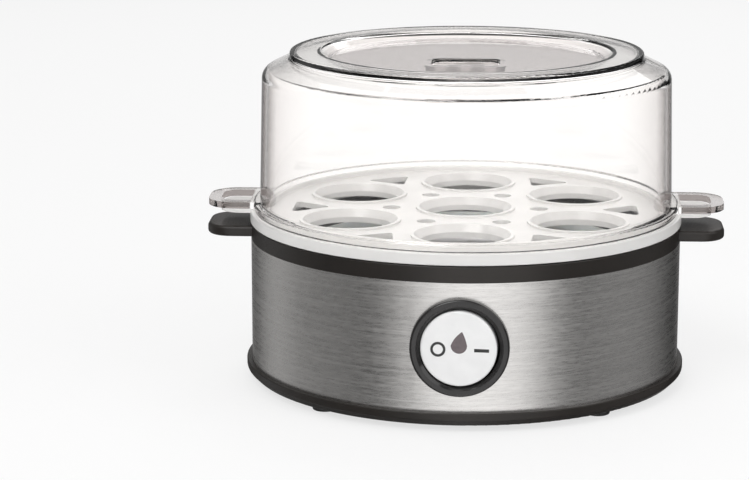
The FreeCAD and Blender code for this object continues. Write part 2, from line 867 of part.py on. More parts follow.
def make_earth_tag():
    """The ring tag of the earth lead on the bracket's right stud."""
    half = earth_tag_width / 2
    bottom = bracket_bottom - earth_tag_thickness
    tag = slab([(stud_offset - half, -half, half), (stud_offset + half, -half, half),
                (stud_offset + half, half, half / 2), (stud_offset + half / 2, earth_tag_reach, half / 4),
                (stud_offset - half / 2, earth_tag_reach, half / 4), (stud_offset - half, half, half / 2)],
               bottom, earth_tag_thickness)
    hole = drum(stud_radius + seat_play, bottom - overrun, bracket_bottom + overrun, stud_offset, 0)
    return tag.cut(hole)


def make_thermal_fuse():
    """The one-shot fuse, a small sleeved can against the plate."""
    half = fuse_length / 2
    can = along_x(fuse_radius, fuse_x - half, fuse_x + half, fuse_y, fuse_z)
    ends = [edge for edge in can.Edges if edge.BoundBox.XLength < fuse_radius / 10]
    return can.makeFillet(fuse_radius / 4, ends)


def make_fuse_clip():
    """The saddle that holds the fuse, its two wings spot-welded to the plate."""
    low = fuse_x - fuse_clip_width / 2
    high = fuse_x + fuse_clip_width / 2
    room_radius = fuse_radius + seat_play
    outer = room_radius + fuse_clip_thickness
    wing_tip = outer + fuse_clip_wing
    top = plate_floor_bottom
    round_part = along_x(outer, low, high, fuse_y, fuse_z)
    sides = box(low, high, fuse_y - outer, fuse_y + outer, fuse_z, top)
    wings = box(low, high, fuse_y - wing_tip, fuse_y + wing_tip, top - fuse_clip_thickness, top)
    saddle = fused([round_part, sides, wings])
    room = along_x(room_radius, low - overrun, high + overrun, fuse_y, fuse_z)
    room_above = box(low - overrun, high + overrun, fuse_y - room_radius, fuse_y + room_radius, fuse_z,
                     top + overrun)
    above = box(low - overrun, high + overrun, fuse_y - wing_tip, fuse_y + wing_tip, top, top + outer)
    return saddle.cut([room, room_above, above])


def at_switch(shape):
    """Moves a shape that is turned about Y to the switch's height."""
    shape.translate(Vector(0, 0, switch_z))
    return shape


def make_switch_bezel():
    """The black ring round the rocker: a flange shaped to the round band and a barrel through it."""
    flange_back = -(body_radius - saddle_blank_depth)
    flange = turned([
        (bezel_opening_radius, face_y + bezel_lip_step, 0),
        (bezel_opening_radius + bezel_lip_step, face_y, bezel_lip_step / 4),
        (bezel_radius, face_y, bezel_edge_round),
        (bezel_radius, flange_back, 0),
        (bezel_opening_radius, flange_back, 0),
    ], axis_y=True)
    flange = at_switch(flange).cut(drum(body_radius, 0, collar_top))
    barrel = turned([
        (bezel_opening_radius, face_y + bezel_lip_step, 0),
        (bezel_barrel_radius, face_y + bezel_lip_step, 0),
        (bezel_barrel_radius, barrel_back_y, bezel_lip_step / 4),
        (bezel_opening_radius, barrel_back_y, 0),
    ], axis_y=True)
    barrel = at_switch(barrel)
    hook_front = -math.sqrt((band_inner_radius - seat_play) ** 2 - (bezel_barrel_radius + hook_reach) ** 2)
    hooks = []
    for side in (-1, 1):
        root = side * (bezel_opening_radius + (bezel_barrel_radius - bezel_opening_radius) / 2)
        tip = side * (bezel_barrel_radius + hook_reach)
        hooks.append(Part.Face(Part.makePolygon([
            Vector(root, hook_front, switch_z - hook_width / 2),
            Vector(tip, hook_front, switch_z - hook_width / 2),
            Vector(root, hook_front + hook_depth, switch_z - hook_width / 2),
            Vector(root, hook_front, switch_z - hook_width / 2),
        ])).extrude(up * hook_width))
    bezel = fused([flange, barrel] + hooks)
    bearing_radius = trunnion_radius + trunnion_play
    return bezel.cut(drum(bearing_radius, switch_z - bezel_radius, switch_z + bezel_radius, 0, pivot_y))


def terminal_outline(x, front_y):
    """A stamped terminal: a wide head inside the housing and a tail out of its back."""
    head_low = switch_z - lever_width / 2
    head_high = switch_z + lever_width / 2
    tail_high = switch_z - switch_blade_drop + switch_blade_width / 2
    tail_low = switch_z - switch_blade_drop - switch_blade_width / 2
    floor_y = cup_back_y - housing_cup_wall
    points = [
        Vector(x, front_y, head_low), Vector(x, front_y, head_high),
        Vector(x, floor_y, head_high), Vector(x, floor_y, tail_high),
        Vector(x, switch_tail_y, tail_high), Vector(x, switch_tail_y, tail_low),
        Vector(x, floor_y - housing_cup_wall, tail_low), Vector(x, front_y, head_low),
    ]
    blade = Part.Face(Part.makePolygon(points)).extrude(Vector(blade_thickness, 0, 0))
    blade.translate(Vector(-blade_thickness / 2, 0, 0))
    return blade


contact_throw = (contact_x + contact_radius) * math.sin(math.radians(lever_swing / 2))
contact_front_y = lever_back_y + contact_throw + plunger_gap


def make_switch_terminals():
    """The common terminal under the lever, the switched contact and the lamp's terminal."""
    common = terminal_outline(0, lever_back_y + lever_rib_radius + trunnion_play)
    contacts = []
    for side in (-1, 1):
        blade = terminal_outline(side * contact_x, contact_front_y + contact_height)
        root = contact_height * contact_root_share
        rivet = along_y(contact_radius, contact_front_y, contact_front_y + contact_height + root,
                        side * contact_x, switch_z)
        contacts.append(fused([blade, rivet]))
    return Part.makeCompound([common] + contacts)


def make_switch_housing():
    """The cup behind the rocker that holds the three terminals."""
    nose_outer = bezel_opening_radius - housing_cup_play
    nose_inner = nose_outer - housing_cup_wall
    flange_back = barrel_back_y + housing_cup_flange
    floor_y = cup_back_y - housing_cup_wall
    cup = turned([
        (nose_inner, barrel_back_y - housing_cup_nose, 0),
        (nose_outer, barrel_back_y - housing_cup_nose, housing_cup_wall / 4),
        (nose_outer, barrel_back_y, 0),
        (bezel_barrel_radius, barrel_back_y, 0),
        (bezel_barrel_radius, flange_back, housing_cup_flange / 4),
        (housing_body_radius, flange_back, 0),
        (housing_body_radius, cup_back_y, housing_cup_wall / 2),
        (0, cup_back_y, 0),
        (0, floor_y, 0),
        (housing_inner_radius, floor_y, housing_cup_wall / 3),
        (housing_inner_radius, barrel_back_y, 0),
        (nose_inner, barrel_back_y, 0),
    ], axis_y=True)
    return at_switch(cup).cut(make_switch_terminals())


def drop_outline(grow):
    """A plain water drop in the XZ plane: a round foot and two flanks that meet at a leaning tip."""
    radius = drop_radius + grow
    low = Vector(drop_x, 0, drop_z - radius)
    right = Vector(drop_x + radius, 0, drop_z)
    left = Vector(drop_x - radius, 0, drop_z)
    tip = Vector(drop_x + drop_lean, 0, drop_z + drop_tip_height + grow)
    across_share, rise_share = drop_right_shares
    flank_z = drop_z + drop_tip_height * rise_share
    right_flank = Vector(drop_x + radius * across_share + grow / 4, 0, flank_z)
    across_share, rise_share = drop_left_shares
    left_flank = Vector(drop_x - radius * across_share - grow / 2, 0, drop_z + drop_tip_height * rise_share)
    edges = [
        Part.Arc(left, low, right).toShape(),
        Part.Arc(right, right_flank, tip).toShape(),
        Part.Arc(tip, left_flank, left).toShape(),
    ]
    return Part.Face(Part.Wire(edges))


def tilted(shape, swing, y):
    """Turns a shape about the upright line at x = 0 and the given y."""
    shape.rotate(Vector(0, y, 0), up, swing)
    return shape


def make_indicator_lens():
    """The drop-shaped lens in the rocker's face, with a flange behind the face."""
    front = drop_outline(0).extrude(Vector(0, rocker_face_thickness, 0))
    flange = drop_outline(lens_flange).extrude(Vector(0, lens_flange_thickness, 0))
    flange.translate(Vector(0, rocker_face_thickness, 0))
    lens = fused([front, flange])
    lens.translate(Vector(0, face_y, switch_z))
    return tilted(lens, -rocker_swing / 2, pivot_y)


def make_rocker_cap():
    """The round white rocker: face, skirt, two trunnions and the stem for the plunger."""
    skirt_back = face_y + rocker_skirt_depth
    cap = turned([
        (0, face_y, 0),
        (rocker_radius, face_y, rocker_edge_round),
        (rocker_radius, skirt_back, 0),
        (rocker_inner_radius, skirt_back, 0),
        (rocker_inner_radius, face_y + rocker_face_thickness, rocker_edge_round),
        (0, face_y + rocker_face_thickness, 0),
    ], axis_y=True)
    cap = at_switch(cap)
    pins = []
    for side in (-1, 1):
        low = min(side * rocker_inner_radius, side * trunnion_reach)
        high = max(side * rocker_inner_radius, side * trunnion_reach)
        pins.append(drum(trunnion_radius, switch_z + low, switch_z + high, 0, pivot_y))
    stem_back = pivot_y + stem_length - plunger_length / 2
    stem = along_y(stem_radius, face_y + rocker_face_thickness / 2, stem_back, 0, switch_z)
    cradle_z = switch_z + lamp_rise
    cradles = [box(side * lamp_length / 3 - rocker_face_thickness / 2,
                   side * lamp_length / 3 + rocker_face_thickness / 2,
                   face_y + rocker_face_thickness / 2, face_y + rocker_face_thickness + lamp_radius,
                   cradle_z - lamp_radius - rocker_face_thickness / 2,
                   cradle_z + lamp_radius + rocker_face_thickness / 2) for side in (-1, 1)]
    cap = fused([cap, stem] + pins + cradles)
    lens_room = drop_outline(0).extrude(Vector(0, rocker_face_thickness + overrun, 0))
    lens_room.translate(Vector(0, face_y - overrun / 2, switch_z))
    flange_room = drop_outline(lens_flange).extrude(Vector(0, lens_flange_thickness, 0))
    flange_room.translate(Vector(0, face_y + rocker_face_thickness, switch_z))
    bore_front = stem_back - plunger_length / 2 - spring_length
    bore = along_y(plunger_radius + plunger_play, bore_front, stem_back + overrun, 0, switch_z)
    half_room = (lamp_length + overrun) / 2
    lamp_room = along_x(lamp_radius + seat_play, -half_room, half_room, lamp_y, cradle_z)
    cap = cap.cut([lens_room, flange_room, bore, lamp_room])
    return tilted(cap, -rocker_swing / 2, pivot_y)


lamp_y = face_y + rocker_face_thickness + lamp_radius + seat_play


def make_indicator_lamp():
    """The small neon lamp in its two cradles behind the rocker's face."""
    lamp = along_x(lamp_radius, -lamp_length / 2, lamp_length / 2, lamp_y, switch_z + lamp_rise)
    ends = [edge for edge in lamp.Edges if edge.BoundBox.XLength < lamp_radius / 10]
    lamp = lamp.makeFillet(lamp_radius / 2, ends)
    return tilted(lamp, -rocker_swing / 2, pivot_y)


def make_plunger():
    """The nylon plunger that slides in the rocker's stem and pushes the contact lever."""
    plunger = turned([
        (0, plunger_tip_y - plunger_length, 0),
        (plunger_radius, plunger_tip_y - plunger_length, 0),
        (plunger_radius, plunger_tip_y, plunger_radius * plunger_tip_share),
        (0, plunger_tip_y, 0),
    ], axis_y=True)
    return tilted(at_switch(plunger), -rocker_swing / 2, pivot_y)


def make_plunger_spring():
    """The little spring behind the plunger, as the closed sleeve that its turns fill."""
    back = plunger_tip_y - plunger_length
    spring = turned([
        (plunger_radius - spring_wall, back - spring_length, 0),
        (plunger_radius, back - spring_length, 0),
        (plunger_radius, back, 0),
        (plunger_radius - spring_wall, back, 0),
    ], axis_y=True)
    return tilted(at_switch(spring), -rocker_swing / 2, pivot_y)


def make_contact_lever():
    """The see-saw contact: its rib rocks on the common terminal as the plunger crosses it."""
    half = lever_width / 2
    plate = box(-lever_half_length, lever_half_length, lever_front_y, lever_back_y,
                switch_z - half, switch_z + half)
    rivets = [along_y(contact_radius, lever_front_y - contact_height, lever_back_y, side * contact_x,
                      switch_z) for side in (-1, 1)]
    rib = drum(lever_rib_radius, switch_z - half, switch_z + half, 0, lever_back_y)
    proud = box(-lever_half_length, lever_half_length, lever_front_y - lever_rib_radius, lever_front_y,
                switch_z - half, switch_z + half)
    rib = rib.cut(proud)
    lever = fused([plate, rib] + rivets)
    return tilted(lever, lever_swing / 2, lever_back_y)


def make_terminal_block():
    """The moulded block that joins the cord's cores to the leads, on two pegs of the pan."""
    half_x = block_length / 2
    half_y = block_depth / 2
    base = slab([(-half_x, block_y - half_y, block_corner), (half_x, block_y - half_y, block_corner),
                 (half_x, block_y + half_y, block_corner), (-half_x, block_y + half_y, block_corner)],
                pan_floor_top, block_height)
    tower_half = half_y * block_tower_share
    screw_offset = block_depth * pole_screw_share
    solids = [base]
    top = pan_floor_top + block_height
    for index in range(-1, 2):
        x = index * pole_pitch
        solids.append(box(x - block_tower_width / 2, x + block_tower_width / 2, block_y - tower_half,
                          block_y + tower_half, top - block_corner, top + block_tower_height))
    block = fused(solids)
    cuts = []
    for index in range(-1, 2):
        x = index * pole_pitch
        hole_end_y = block_y + half_y + overrun
        cuts.append(along_y(pole_hole_radius, block_front_y - overrun, hole_end_y, x, pole_z))
        for side in (-1, 1):
            cuts.append(drum(pole_tower_bore, pole_z, top + block_tower_height + overrun, x,
                             block_y + side * screw_offset))
    for x, y in peg_places:
        cuts.append(drum(peg_radius + seat_play, pan_floor_top - overrun,
                         pan_floor_top + peg_height + seat_play, x, y))
    return block.cut(cuts)


def make_terminal_screws():
    """Two clamping screws in each pole of the block."""
    screws = []
    top = pan_floor_top + block_height + block_tower_height / 2
    for index in range(-1, 2):
        for side in (-1, 1):
            x = index * pole_pitch
            y = block_y + side * block_depth * pole_screw_share
            body = drum(pole_screw_radius, top - pole_screw_height, top, x, y)
            slot = box(x - pole_screw_radius, x + pole_screw_radius, y - pole_screw_radius / 6,
                       y + pole_screw_radius / 6, top - pole_screw_height / 3, top + overrun)
            screws.append(body.cut(slot))
    return Part.makeCompound(screws)


def make_cord_gland():
    """The snap-in bushing that lines the cord's way through the band."""
    bore = cord_radius + inlet_bore_play
    inner_face = band_inner_radius - inlet_play
    flange = turned([
        (bore, body_radius - saddle_blank_depth, 0),
        (inlet_flange_radius, body_radius - saddle_blank_depth, 0),
        (inlet_flange_radius, body_radius + inlet_proud, inlet_proud / 3),
        (bore, body_radius + inlet_proud, 0),
    ], axis_y=True)
    flange.translate(Vector(0, 0, cord_z))
    flange = flange.cut(drum(body_radius, 0, collar_top))
    neck = turned([
        (bore, inner_face - inlet_barb_length, 0),
        (inlet_neck_radius, inner_face - inlet_barb_length, 0),
        (inlet_barb_radius, inner_face - inlet_barb_gap, 0),
        (inlet_neck_radius, inner_face - inlet_barb_gap, 0),
        (inlet_neck_radius, body_radius + inlet_proud / 4, 0),
        (bore, body_radius + inlet_proud / 4, 0),
    ], axis_y=True)
    neck.translate(Vector(0, 0, cord_z))
    return fused([flange, neck])


def make_cord_clamp():
    """The bar that pins the cord's sheath to the saddle."""
    half = clamp_post_spacing / 2 + clamp_post_radius
    depth = clamp_bar_width / 2
    bar = slab([(-half, clamp_y - depth, depth), (half, clamp_y - depth, depth),
                (half, clamp_y + depth, depth), (-half, clamp_y + depth, depth)],
               clamp_bar_bottom, clamp_bar_thickness)
    holes = [drum(clamp_screw_radius + seat_play, clamp_bar_bottom - overrun,
                  clamp_bar_bottom + clamp_bar_thickness + overrun, x, y) for x, y in clamp_places]
    return bar.cut(holes)


def make_clamp_screws():
    """The two screws of the cord clamp."""
    seat = clamp_bar_bottom + clamp_bar_thickness
    return Part.makeCompound([
        screw(x, y, seat, clamp_head_radius, clamp_head_height, clamp_screw_radius,
              clamp_bar_thickness + clamp_screw_length, False)
        for x, y in clamp_places])


def make_egg_tray():
    """The lift-off tray: skirt, lid channel, spigot, seven seat holes, steam openings and two ears."""
    skirt_inner = tray_rim_radius - tray_skirt_wall
    spigot_outer = collar_inner_radius - tray_spigot_gap
    spigot_inner = spigot_outer - tray_spigot_wall
    spigot_bottom = tray_floor_bottom - tray_spigot_depth
    small = tray_rib_wall / 3
    tray = turned([
        (0, tray_floor_top, 0),
        (rib_inner_radius, tray_floor_top, small),
        (rib_inner_radius, tray_floor_top + tray_rib_height, small),
        (rib_outer_radius, tray_floor_top + tray_rib_height, small),
        (rib_outer_radius, tray_floor_top, small),
        (tray_rim_inner, tray_floor_top, 0),
        (tray_rim_inner, tray_rim_top, 0),
        (tray_rim_radius, tray_rim_top, small),
        (tray_rim_radius, tray_bottom, small),
        (skirt_inner, tray_bottom, 0),
        (skirt_inner, tray_floor_bottom, small),
        (spigot_outer, tray_floor_bottom, small),
        (spigot_outer, spigot_bottom, small),
        (spigot_inner, spigot_bottom, small),
        (spigot_inner, tray_floor_bottom, small),
        (0, tray_floor_bottom, 0),
    ])
    seats = [(0.0, 0.0)]
    for index in range(seat_count):
        seats.append(polar(seat_circle_radius, -90.0 + index * 360.0 / seat_count))
    solids = [tray]
    for x, y in seats:
        solids.append(drum(seat_cone_radius + seat_ring_width, tray_floor_bottom,
                           tray_floor_top + seat_ring_height, x, y))
        solids.append(drum(seat_hole_radius + seat_under_ring, tray_floor_bottom - seat_under_depth,
                           tray_floor_top, x, y))
    between = 180.0 / seat_count
    for index in range(seat_count):
        web = box(web_inner_radius, web_outer_radius, -web_thickness / 2, web_thickness / 2,
                  tray_floor_bottom - web_depth, tray_floor_top - tray_floor_thickness / 2)
        solids.append(turned_copy(web, -90.0 + between + index * 2 * between))
    ear_bottom = tray_rim_top - tray_ear_rise / 2 - tray_ear_thickness / 4
    ear = ear_plate(collar_inner_radius, tray_ear_reach, tray_ear_width, tray_ear_corner,
                    tray_rim_top + tray_ear_rise - tray_ear_thickness, tray_ear_thickness)
    ear = ear.cut(drum(tray_rim_inner, ear_bottom - tray_skirt_height, lid_top))
    solids += [ear, turned_copy(ear, 180)]
    tray = fused(solids)
    cuts = []
    for x, y in seats:
        low = tray_floor_bottom - seat_under_depth - overrun
        cuts.append(drum(seat_hole_radius, low, tray_rim_top + overrun, x, y))
        cone = Part.makeCone(seat_hole_radius, seat_cone_radius, tray_floor_thickness + seat_ring_height,
                             Vector(x, y, tray_floor_bottom))
        cuts.append(cone)
    for index in range(seat_count):
        angle = -90.0 + between + index * 2 * between
        corners = [polar(steam_inner_radius, angle), polar(steam_outer_radius, angle - steam_half_angle),
                   polar(steam_outer_radius, angle + steam_half_angle)]
        cuts.append(slab([(x, y, steam_corner) for x, y in corners], tray_floor_bottom - overrun,
                         tray_floor_thickness + 2 * overrun))
        x, y = polar(drip_circle_radius, angle)
        cuts.append(drum(drip_hole_radius, tray_floor_bottom - web_depth - overrun,
                         tray_floor_top + overrun, x, y))
    return tray.cut(cuts)


def make_lid():
    """The clear lid: a tall drafted wall, a sunk top with a vent pocket, a foot flange and two loops."""
    disc_foot = lid_top - lid_disc_step
    shoulder_z = lid_top - lid_shoulder_drop
    flange_top = lid_bottom + lid_flange_height
    recess_floor = lid_top - lid_recess_depth
    inner_step = lid_wall * lid_inner_step_share
    small = lid_small_round
    lid = turned([
        (0, recess_floor, 0),
        (lid_recess_radius - lid_recess_slope, recess_floor, lid_recess_round),
        (lid_recess_radius, lid_top, small),
        (lid_disc_radius, lid_top, small),
        (lid_disc_radius + small / 4, disc_foot, small),
        (lid_shoulder_radius, shoulder_z, lid_shoulder_round),
        (lid_foot_radius, flange_top, small),
        (lid_flange_radius, flange_top, small / 2),
        (lid_flange_radius, lid_bottom, small / 2),
        (lid_foot_radius - lid_wall, lid_bottom, small / 2),
        (lid_shoulder_radius - lid_wall, shoulder_z - inner_step, lid_shoulder_round - lid_wall),
        (lid_disc_radius - inner_step, disc_foot - lid_wall, small),
        (lid_disc_radius - lid_wall, lid_top - lid_wall, small),
        (lid_recess_radius + inner_step, lid_top - lid_wall, small),
        (lid_recess_radius - lid_recess_slope + inner_step, recess_floor - lid_wall, small),
        (0, recess_floor - lid_wall, 0),
    ])
    loop_bottom = tray_rim_top + tray_ear_rise + lift_gap
    root = lid_foot_radius - lid_wall / 2
    loop = ear_plate(root - ear_width / 4, loop_reach, loop_width, loop_corner, loop_bottom, loop_thickness)
    loop = loop.cut(drum(root, lid_bottom, lid_top))
    slot_half = loop_width / 2 - loop_bar
    slot_end = loop_reach - loop_bar
    loop = loop.cut(slab([(loop_slot_start, -slot_half, small), (slot_end, -slot_half, loop_slot_corner),
                          (slot_end, slot_half, loop_slot_corner), (loop_slot_start, slot_half, small)],
                         loop_bottom - overrun, loop_thickness + 2 * overrun))
    half = vent_pocket_width / 2
    back = vent_pocket_back
    front = back - vent_pocket_length
    grown = half + lid_wall
    corner = vent_pocket_corner + lid_wall
    tub = slab([(-grown, front - lid_wall, corner), (grown, front - lid_wall, corner),
                (grown, back + lid_wall, corner), (-grown, back + lid_wall, corner)],
               recess_floor - vent_pocket_depth - lid_wall, vent_pocket_depth + lid_wall / 2)
    lid = fused([lid, tub, loop, turned_copy(loop, 180)])
    pocket = slab([(-half, front, vent_pocket_corner), (half, front, vent_pocket_corner),
                   (half, back, vent_pocket_corner), (-half, back, vent_pocket_corner)],
                  recess_floor - vent_pocket_depth, vent_pocket_depth + overrun)
    cuts = [pocket]
    middle = (front + back) / 2
    for index in range(vent_slot_count):
        x = (index - (vent_slot_count - 1) / 2) * vent_slot_pitch
        wide = vent_slot_width / 2
        long = vent_slot_length / 2
        cuts.append(slab([(x - wide, middle - long, wide / 2), (x + wide, middle - long, wide / 2),
                          (x + wide, middle + long, wide / 2), (x - wide, middle + long, wide / 2)],
                         recess_floor - vent_pocket_depth - lid_wall - overrun, lid_wall + 2 * overrun))
    return lid.cut(cuts)


def laid_out(bends):
    """A lead's bends, moved in plan as the body's radius asks."""
    share = body_radius / lead_layout_radius
    return [(x * share, y * share, z) for x, y, z in bends]


def lead(name, points):
    """An insulated lead along straight runs joined by the largest tangent arcs that fit."""
    places = [Vector(*point) for point in points]
    radii = [0.0]
    for index in range(1, len(places) - 1):
        before = places[index - 1] - places[index]
        after = places[index + 1] - places[index]
        turn = math.pi - before.getAngle(after)
        radii.append(lead_bend_share * min(before.Length, after.Length) / math.tan(turn / 2))
    radii.append(0.0)
    path = Part.Wire(corner_edges(places, radii, False))
    heading = places[1] - places[0]
    section = Part.Wire(Part.Circle(places[0], heading, lead_radius).toShape())
    tube = path.makePipeShell([section], True, False)
    expected = math.pi * lead_radius ** 2 * path.Length
    print(name, "radii", [round(radius, 1) for radius in radii[1:-1]],
          "volume over section times length", round(tube.Volume / expected, 4))
    return tube


switch_tail_z = switch_z - switch_blade_drop
block_entry_y = block_front_y + lead_entry
tag_middle_z = tag_z - tag_thickness / 2
blade_middle_z = blade_top - blade_thickness / 2
tag_end_y = element_end_y - tag_length
earth_tag_z = bracket_bottom - earth_tag_thickness / 2


def make_live_lead():
    """From the block's live pole to the switch's contact."""
    start = (-pole_pitch, block_entry_y, pole_z)
    end = (-contact_x, switch_tail_y, switch_tail_z)
    approach = (-contact_x, switch_tail_y + lead_run, switch_tail_z)
    return lead("live_lead", [start] + laid_out(live_bends) + [approach, end])


def make_switched_lead():
    """From the switch's common terminal to the fuse's right end."""
    start = (0, switch_tail_y, switch_tail_z)
    end_x = fuse_x + fuse_length / 2
    points = [start, (0, switch_tail_y + lead_run, switch_tail_z)] + laid_out(switched_bends)
    return lead("switched_lead", points + [(end_x + lead_run, fuse_y, fuse_z), (end_x, fuse_y, fuse_z)])


def make_fuse_lead():
    """From the fuse's left end to the thermostat's front blade."""
    start = (fuse_x - fuse_length / 2, fuse_y, fuse_z)
    approach = (0, -blade_end_y - lead_run, blade_middle_z)
    return lead("fuse_lead", [start] + laid_out(fuse_bends) + [approach, (0, -blade_end_y, blade_middle_z)])


def make_element_lead():
    """From the thermostat's back blade to the element's left end."""
    start = (0, blade_end_y, blade_middle_z)
    approach = (-element_end_x, tag_end_y - tag_run, tag_middle_z)
    end = (-element_end_x, tag_end_y, tag_middle_z)
    points = [start, (0, blade_end_y + lead_run, blade_middle_z)] + laid_out(element_bends)
    return lead("element_lead", points + [approach, end])


def make_neutral_lead():
    """From the block's neutral pole to the element's right end."""
    start = (pole_pitch, block_entry_y, pole_z)
    approach = (element_end_x, tag_end_y - tag_run, tag_middle_z)
    end = (element_end_x, tag_end_y, tag_middle_z)
    return lead("neutral_lead", [start] + laid_out(neutral_bends) + [approach, end])


def make_earth_lead():
    """From the block's earth pole to the tag on the bracket."""
    start = (0, block_entry_y, pole_z)
    end = (stud_offset, earth_tag_reach, earth_tag_z)
    return lead("earth_lead", [start] + laid_out(earth_bends) + [end])


makers = {
    "base_pan": make_base_pan,
    "rubber_feet": make_rubber_feet,
    "housing_screws": make_housing_screws,
    "outer_band": make_outer_band,
    "top_collar": make_top_collar,
    "plate_gasket": make_plate_gasket,
    "heating_plate": make_heating_plate,
    "plate_clips": make_plate_clips,
    "clip_screws": make_clip_screws,
    "heating_element": make_heating_element,
    "element_terminals": make_element_terminals,
    "thermostat": make_thermostat,
    "thermostat_bracket": make_thermostat_bracket,
    "bracket_nuts": make_bracket_nuts,
    "earth_tag": make_earth_tag,
    "thermal_fuse": make_thermal_fuse,
    "fuse_clip": make_fuse_clip,
    "switch_bezel": make_switch_bezel,
    "switch_housing": make_switch_housing,
    "switch_terminals": make_switch_terminals,
    "rocker_cap": make_rocker_cap,
    "indicator_lens": make_indicator_lens,
    "indicator_lamp": make_indicator_lamp,
    "plunger": make_plunger,
    "plunger_spring": make_plunger_spring,
    "contact_lever": make_contact_lever,
    "terminal_block": make_terminal_block,
    "terminal_screws": make_terminal_screws,
    "cord_gland": make_cord_gland,
    "cord_clamp": make_cord_clamp,
    "clamp_screws": make_clamp_screws,
    "live_lead": make_live_lead,
    "switched_lead": make_switched_lead,
    "fuse_lead": make_fuse_lead,
    "element_lead": make_element_lead,
    "neutral_lead": make_neutral_lead,
    "earth_lead": make_earth_lead,
    "egg_tray": make_egg_tray,
    "lid": make_lid,
}

os.makedirs("parts", exist_ok=True)
for node, make in makers.items():
    shape = make()
    valid = "valid" if shape.isValid() else "NOT VALID"
    print(node, len(shape.Solids), "solids", round(shape.Volume, 1), "mm3", valid)
    shape.exportStep(os.path.join("parts", node + ".step"))
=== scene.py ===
import bpy
import math
import mathutils
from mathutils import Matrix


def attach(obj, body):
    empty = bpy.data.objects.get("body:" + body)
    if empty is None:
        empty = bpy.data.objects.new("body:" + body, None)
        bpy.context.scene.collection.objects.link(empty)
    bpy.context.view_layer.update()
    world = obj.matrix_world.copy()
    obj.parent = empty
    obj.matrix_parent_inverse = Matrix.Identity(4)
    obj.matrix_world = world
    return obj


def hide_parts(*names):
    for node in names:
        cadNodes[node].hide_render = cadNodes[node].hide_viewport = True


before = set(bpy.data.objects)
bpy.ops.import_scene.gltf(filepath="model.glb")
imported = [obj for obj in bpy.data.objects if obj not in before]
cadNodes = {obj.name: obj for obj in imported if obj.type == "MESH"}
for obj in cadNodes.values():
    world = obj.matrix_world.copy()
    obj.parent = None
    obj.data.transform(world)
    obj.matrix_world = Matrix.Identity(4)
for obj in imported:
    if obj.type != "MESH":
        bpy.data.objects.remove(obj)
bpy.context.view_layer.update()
print("frame loaded:", len(cadNodes), "nodes")


def deselectAll():
    if bpy.context.object and bpy.context.object.mode != "OBJECT":
        bpy.ops.object.mode_set(mode="OBJECT")
    bpy.ops.object.select_all(action="DESELECT")


def pickOnly(piece):
    deselectAll()
    piece.select_set(True)
    bpy.context.view_layer.objects.active = piece


def named(name):
    # the primitive that was just added, under its own name
    piece = bpy.context.object
    piece.name = name
    piece.data.name = name
    return piece


def settle(piece):
    # the place goes into the mesh, the object stays at the origin
    pickOnly(piece)
    bpy.ops.object.transform_apply(location=True, rotation=True, scale=True)


def applyAll(piece):
    pickOnly(piece)
    for modifier in list(piece.modifiers):
        bpy.ops.object.modifier_apply(modifier=modifier.name)


def selectFaces(piece, test):
    # edit mode with the faces that pass the test selected
    pickOnly(piece)
    bpy.ops.object.mode_set(mode="EDIT")
    bpy.ops.mesh.select_mode(type="FACE")
    bpy.ops.mesh.select_all(action="DESELECT")
    bpy.ops.object.mode_set(mode="OBJECT")
    for face in piece.data.polygons:
        face.select = test(face)
    bpy.ops.object.mode_set(mode="EDIT")


def leaveEdit():
    bpy.ops.object.mode_set(mode="OBJECT")


def softShade(piece, angle=35):
    pickOnly(piece)
    bpy.ops.object.shade_smooth_by_angle(angle=math.radians(angle))


class Wiring:
    # the nodes and links of one node tree

    def __init__(self, tree):
        self.nodes = tree.nodes
        self.links = tree.links

    def node(self, kind, **settings):
        made = self.nodes.new(kind)
        for label, value in settings.items():
            setattr(made, label, value)
        return made

    def maths(self, operation, first, second=None, clamp=False):
        made = self.node("ShaderNodeMath", operation=operation, use_clamp=clamp)
        for index, value in enumerate((first, second)):
            if value is None:
                continue
            if isinstance(value, (int, float)):
                made.inputs[index].default_value = value
            else:
                self.links.new(value, made.inputs[index])
        return made.outputs[0]

    def spread(self, value, low, high, fromLow=0.3, fromHigh=0.7):
        made = self.node("ShaderNodeMapRange")
        made.inputs["From Min"].default_value = fromLow
        made.inputs["From Max"].default_value = fromHigh
        made.inputs["To Min"].default_value = low
        made.inputs["To Max"].default_value = high
        self.links.new(value, made.inputs["Value"])
        return made.outputs["Result"]

    def wayRound(self, split):
        # the angle round the housing's axis, 0 at the front
        front = self.maths("MULTIPLY", split.outputs["Y"], -1.0)
        return self.maths("ARCTAN2", split.outputs["X"], front)


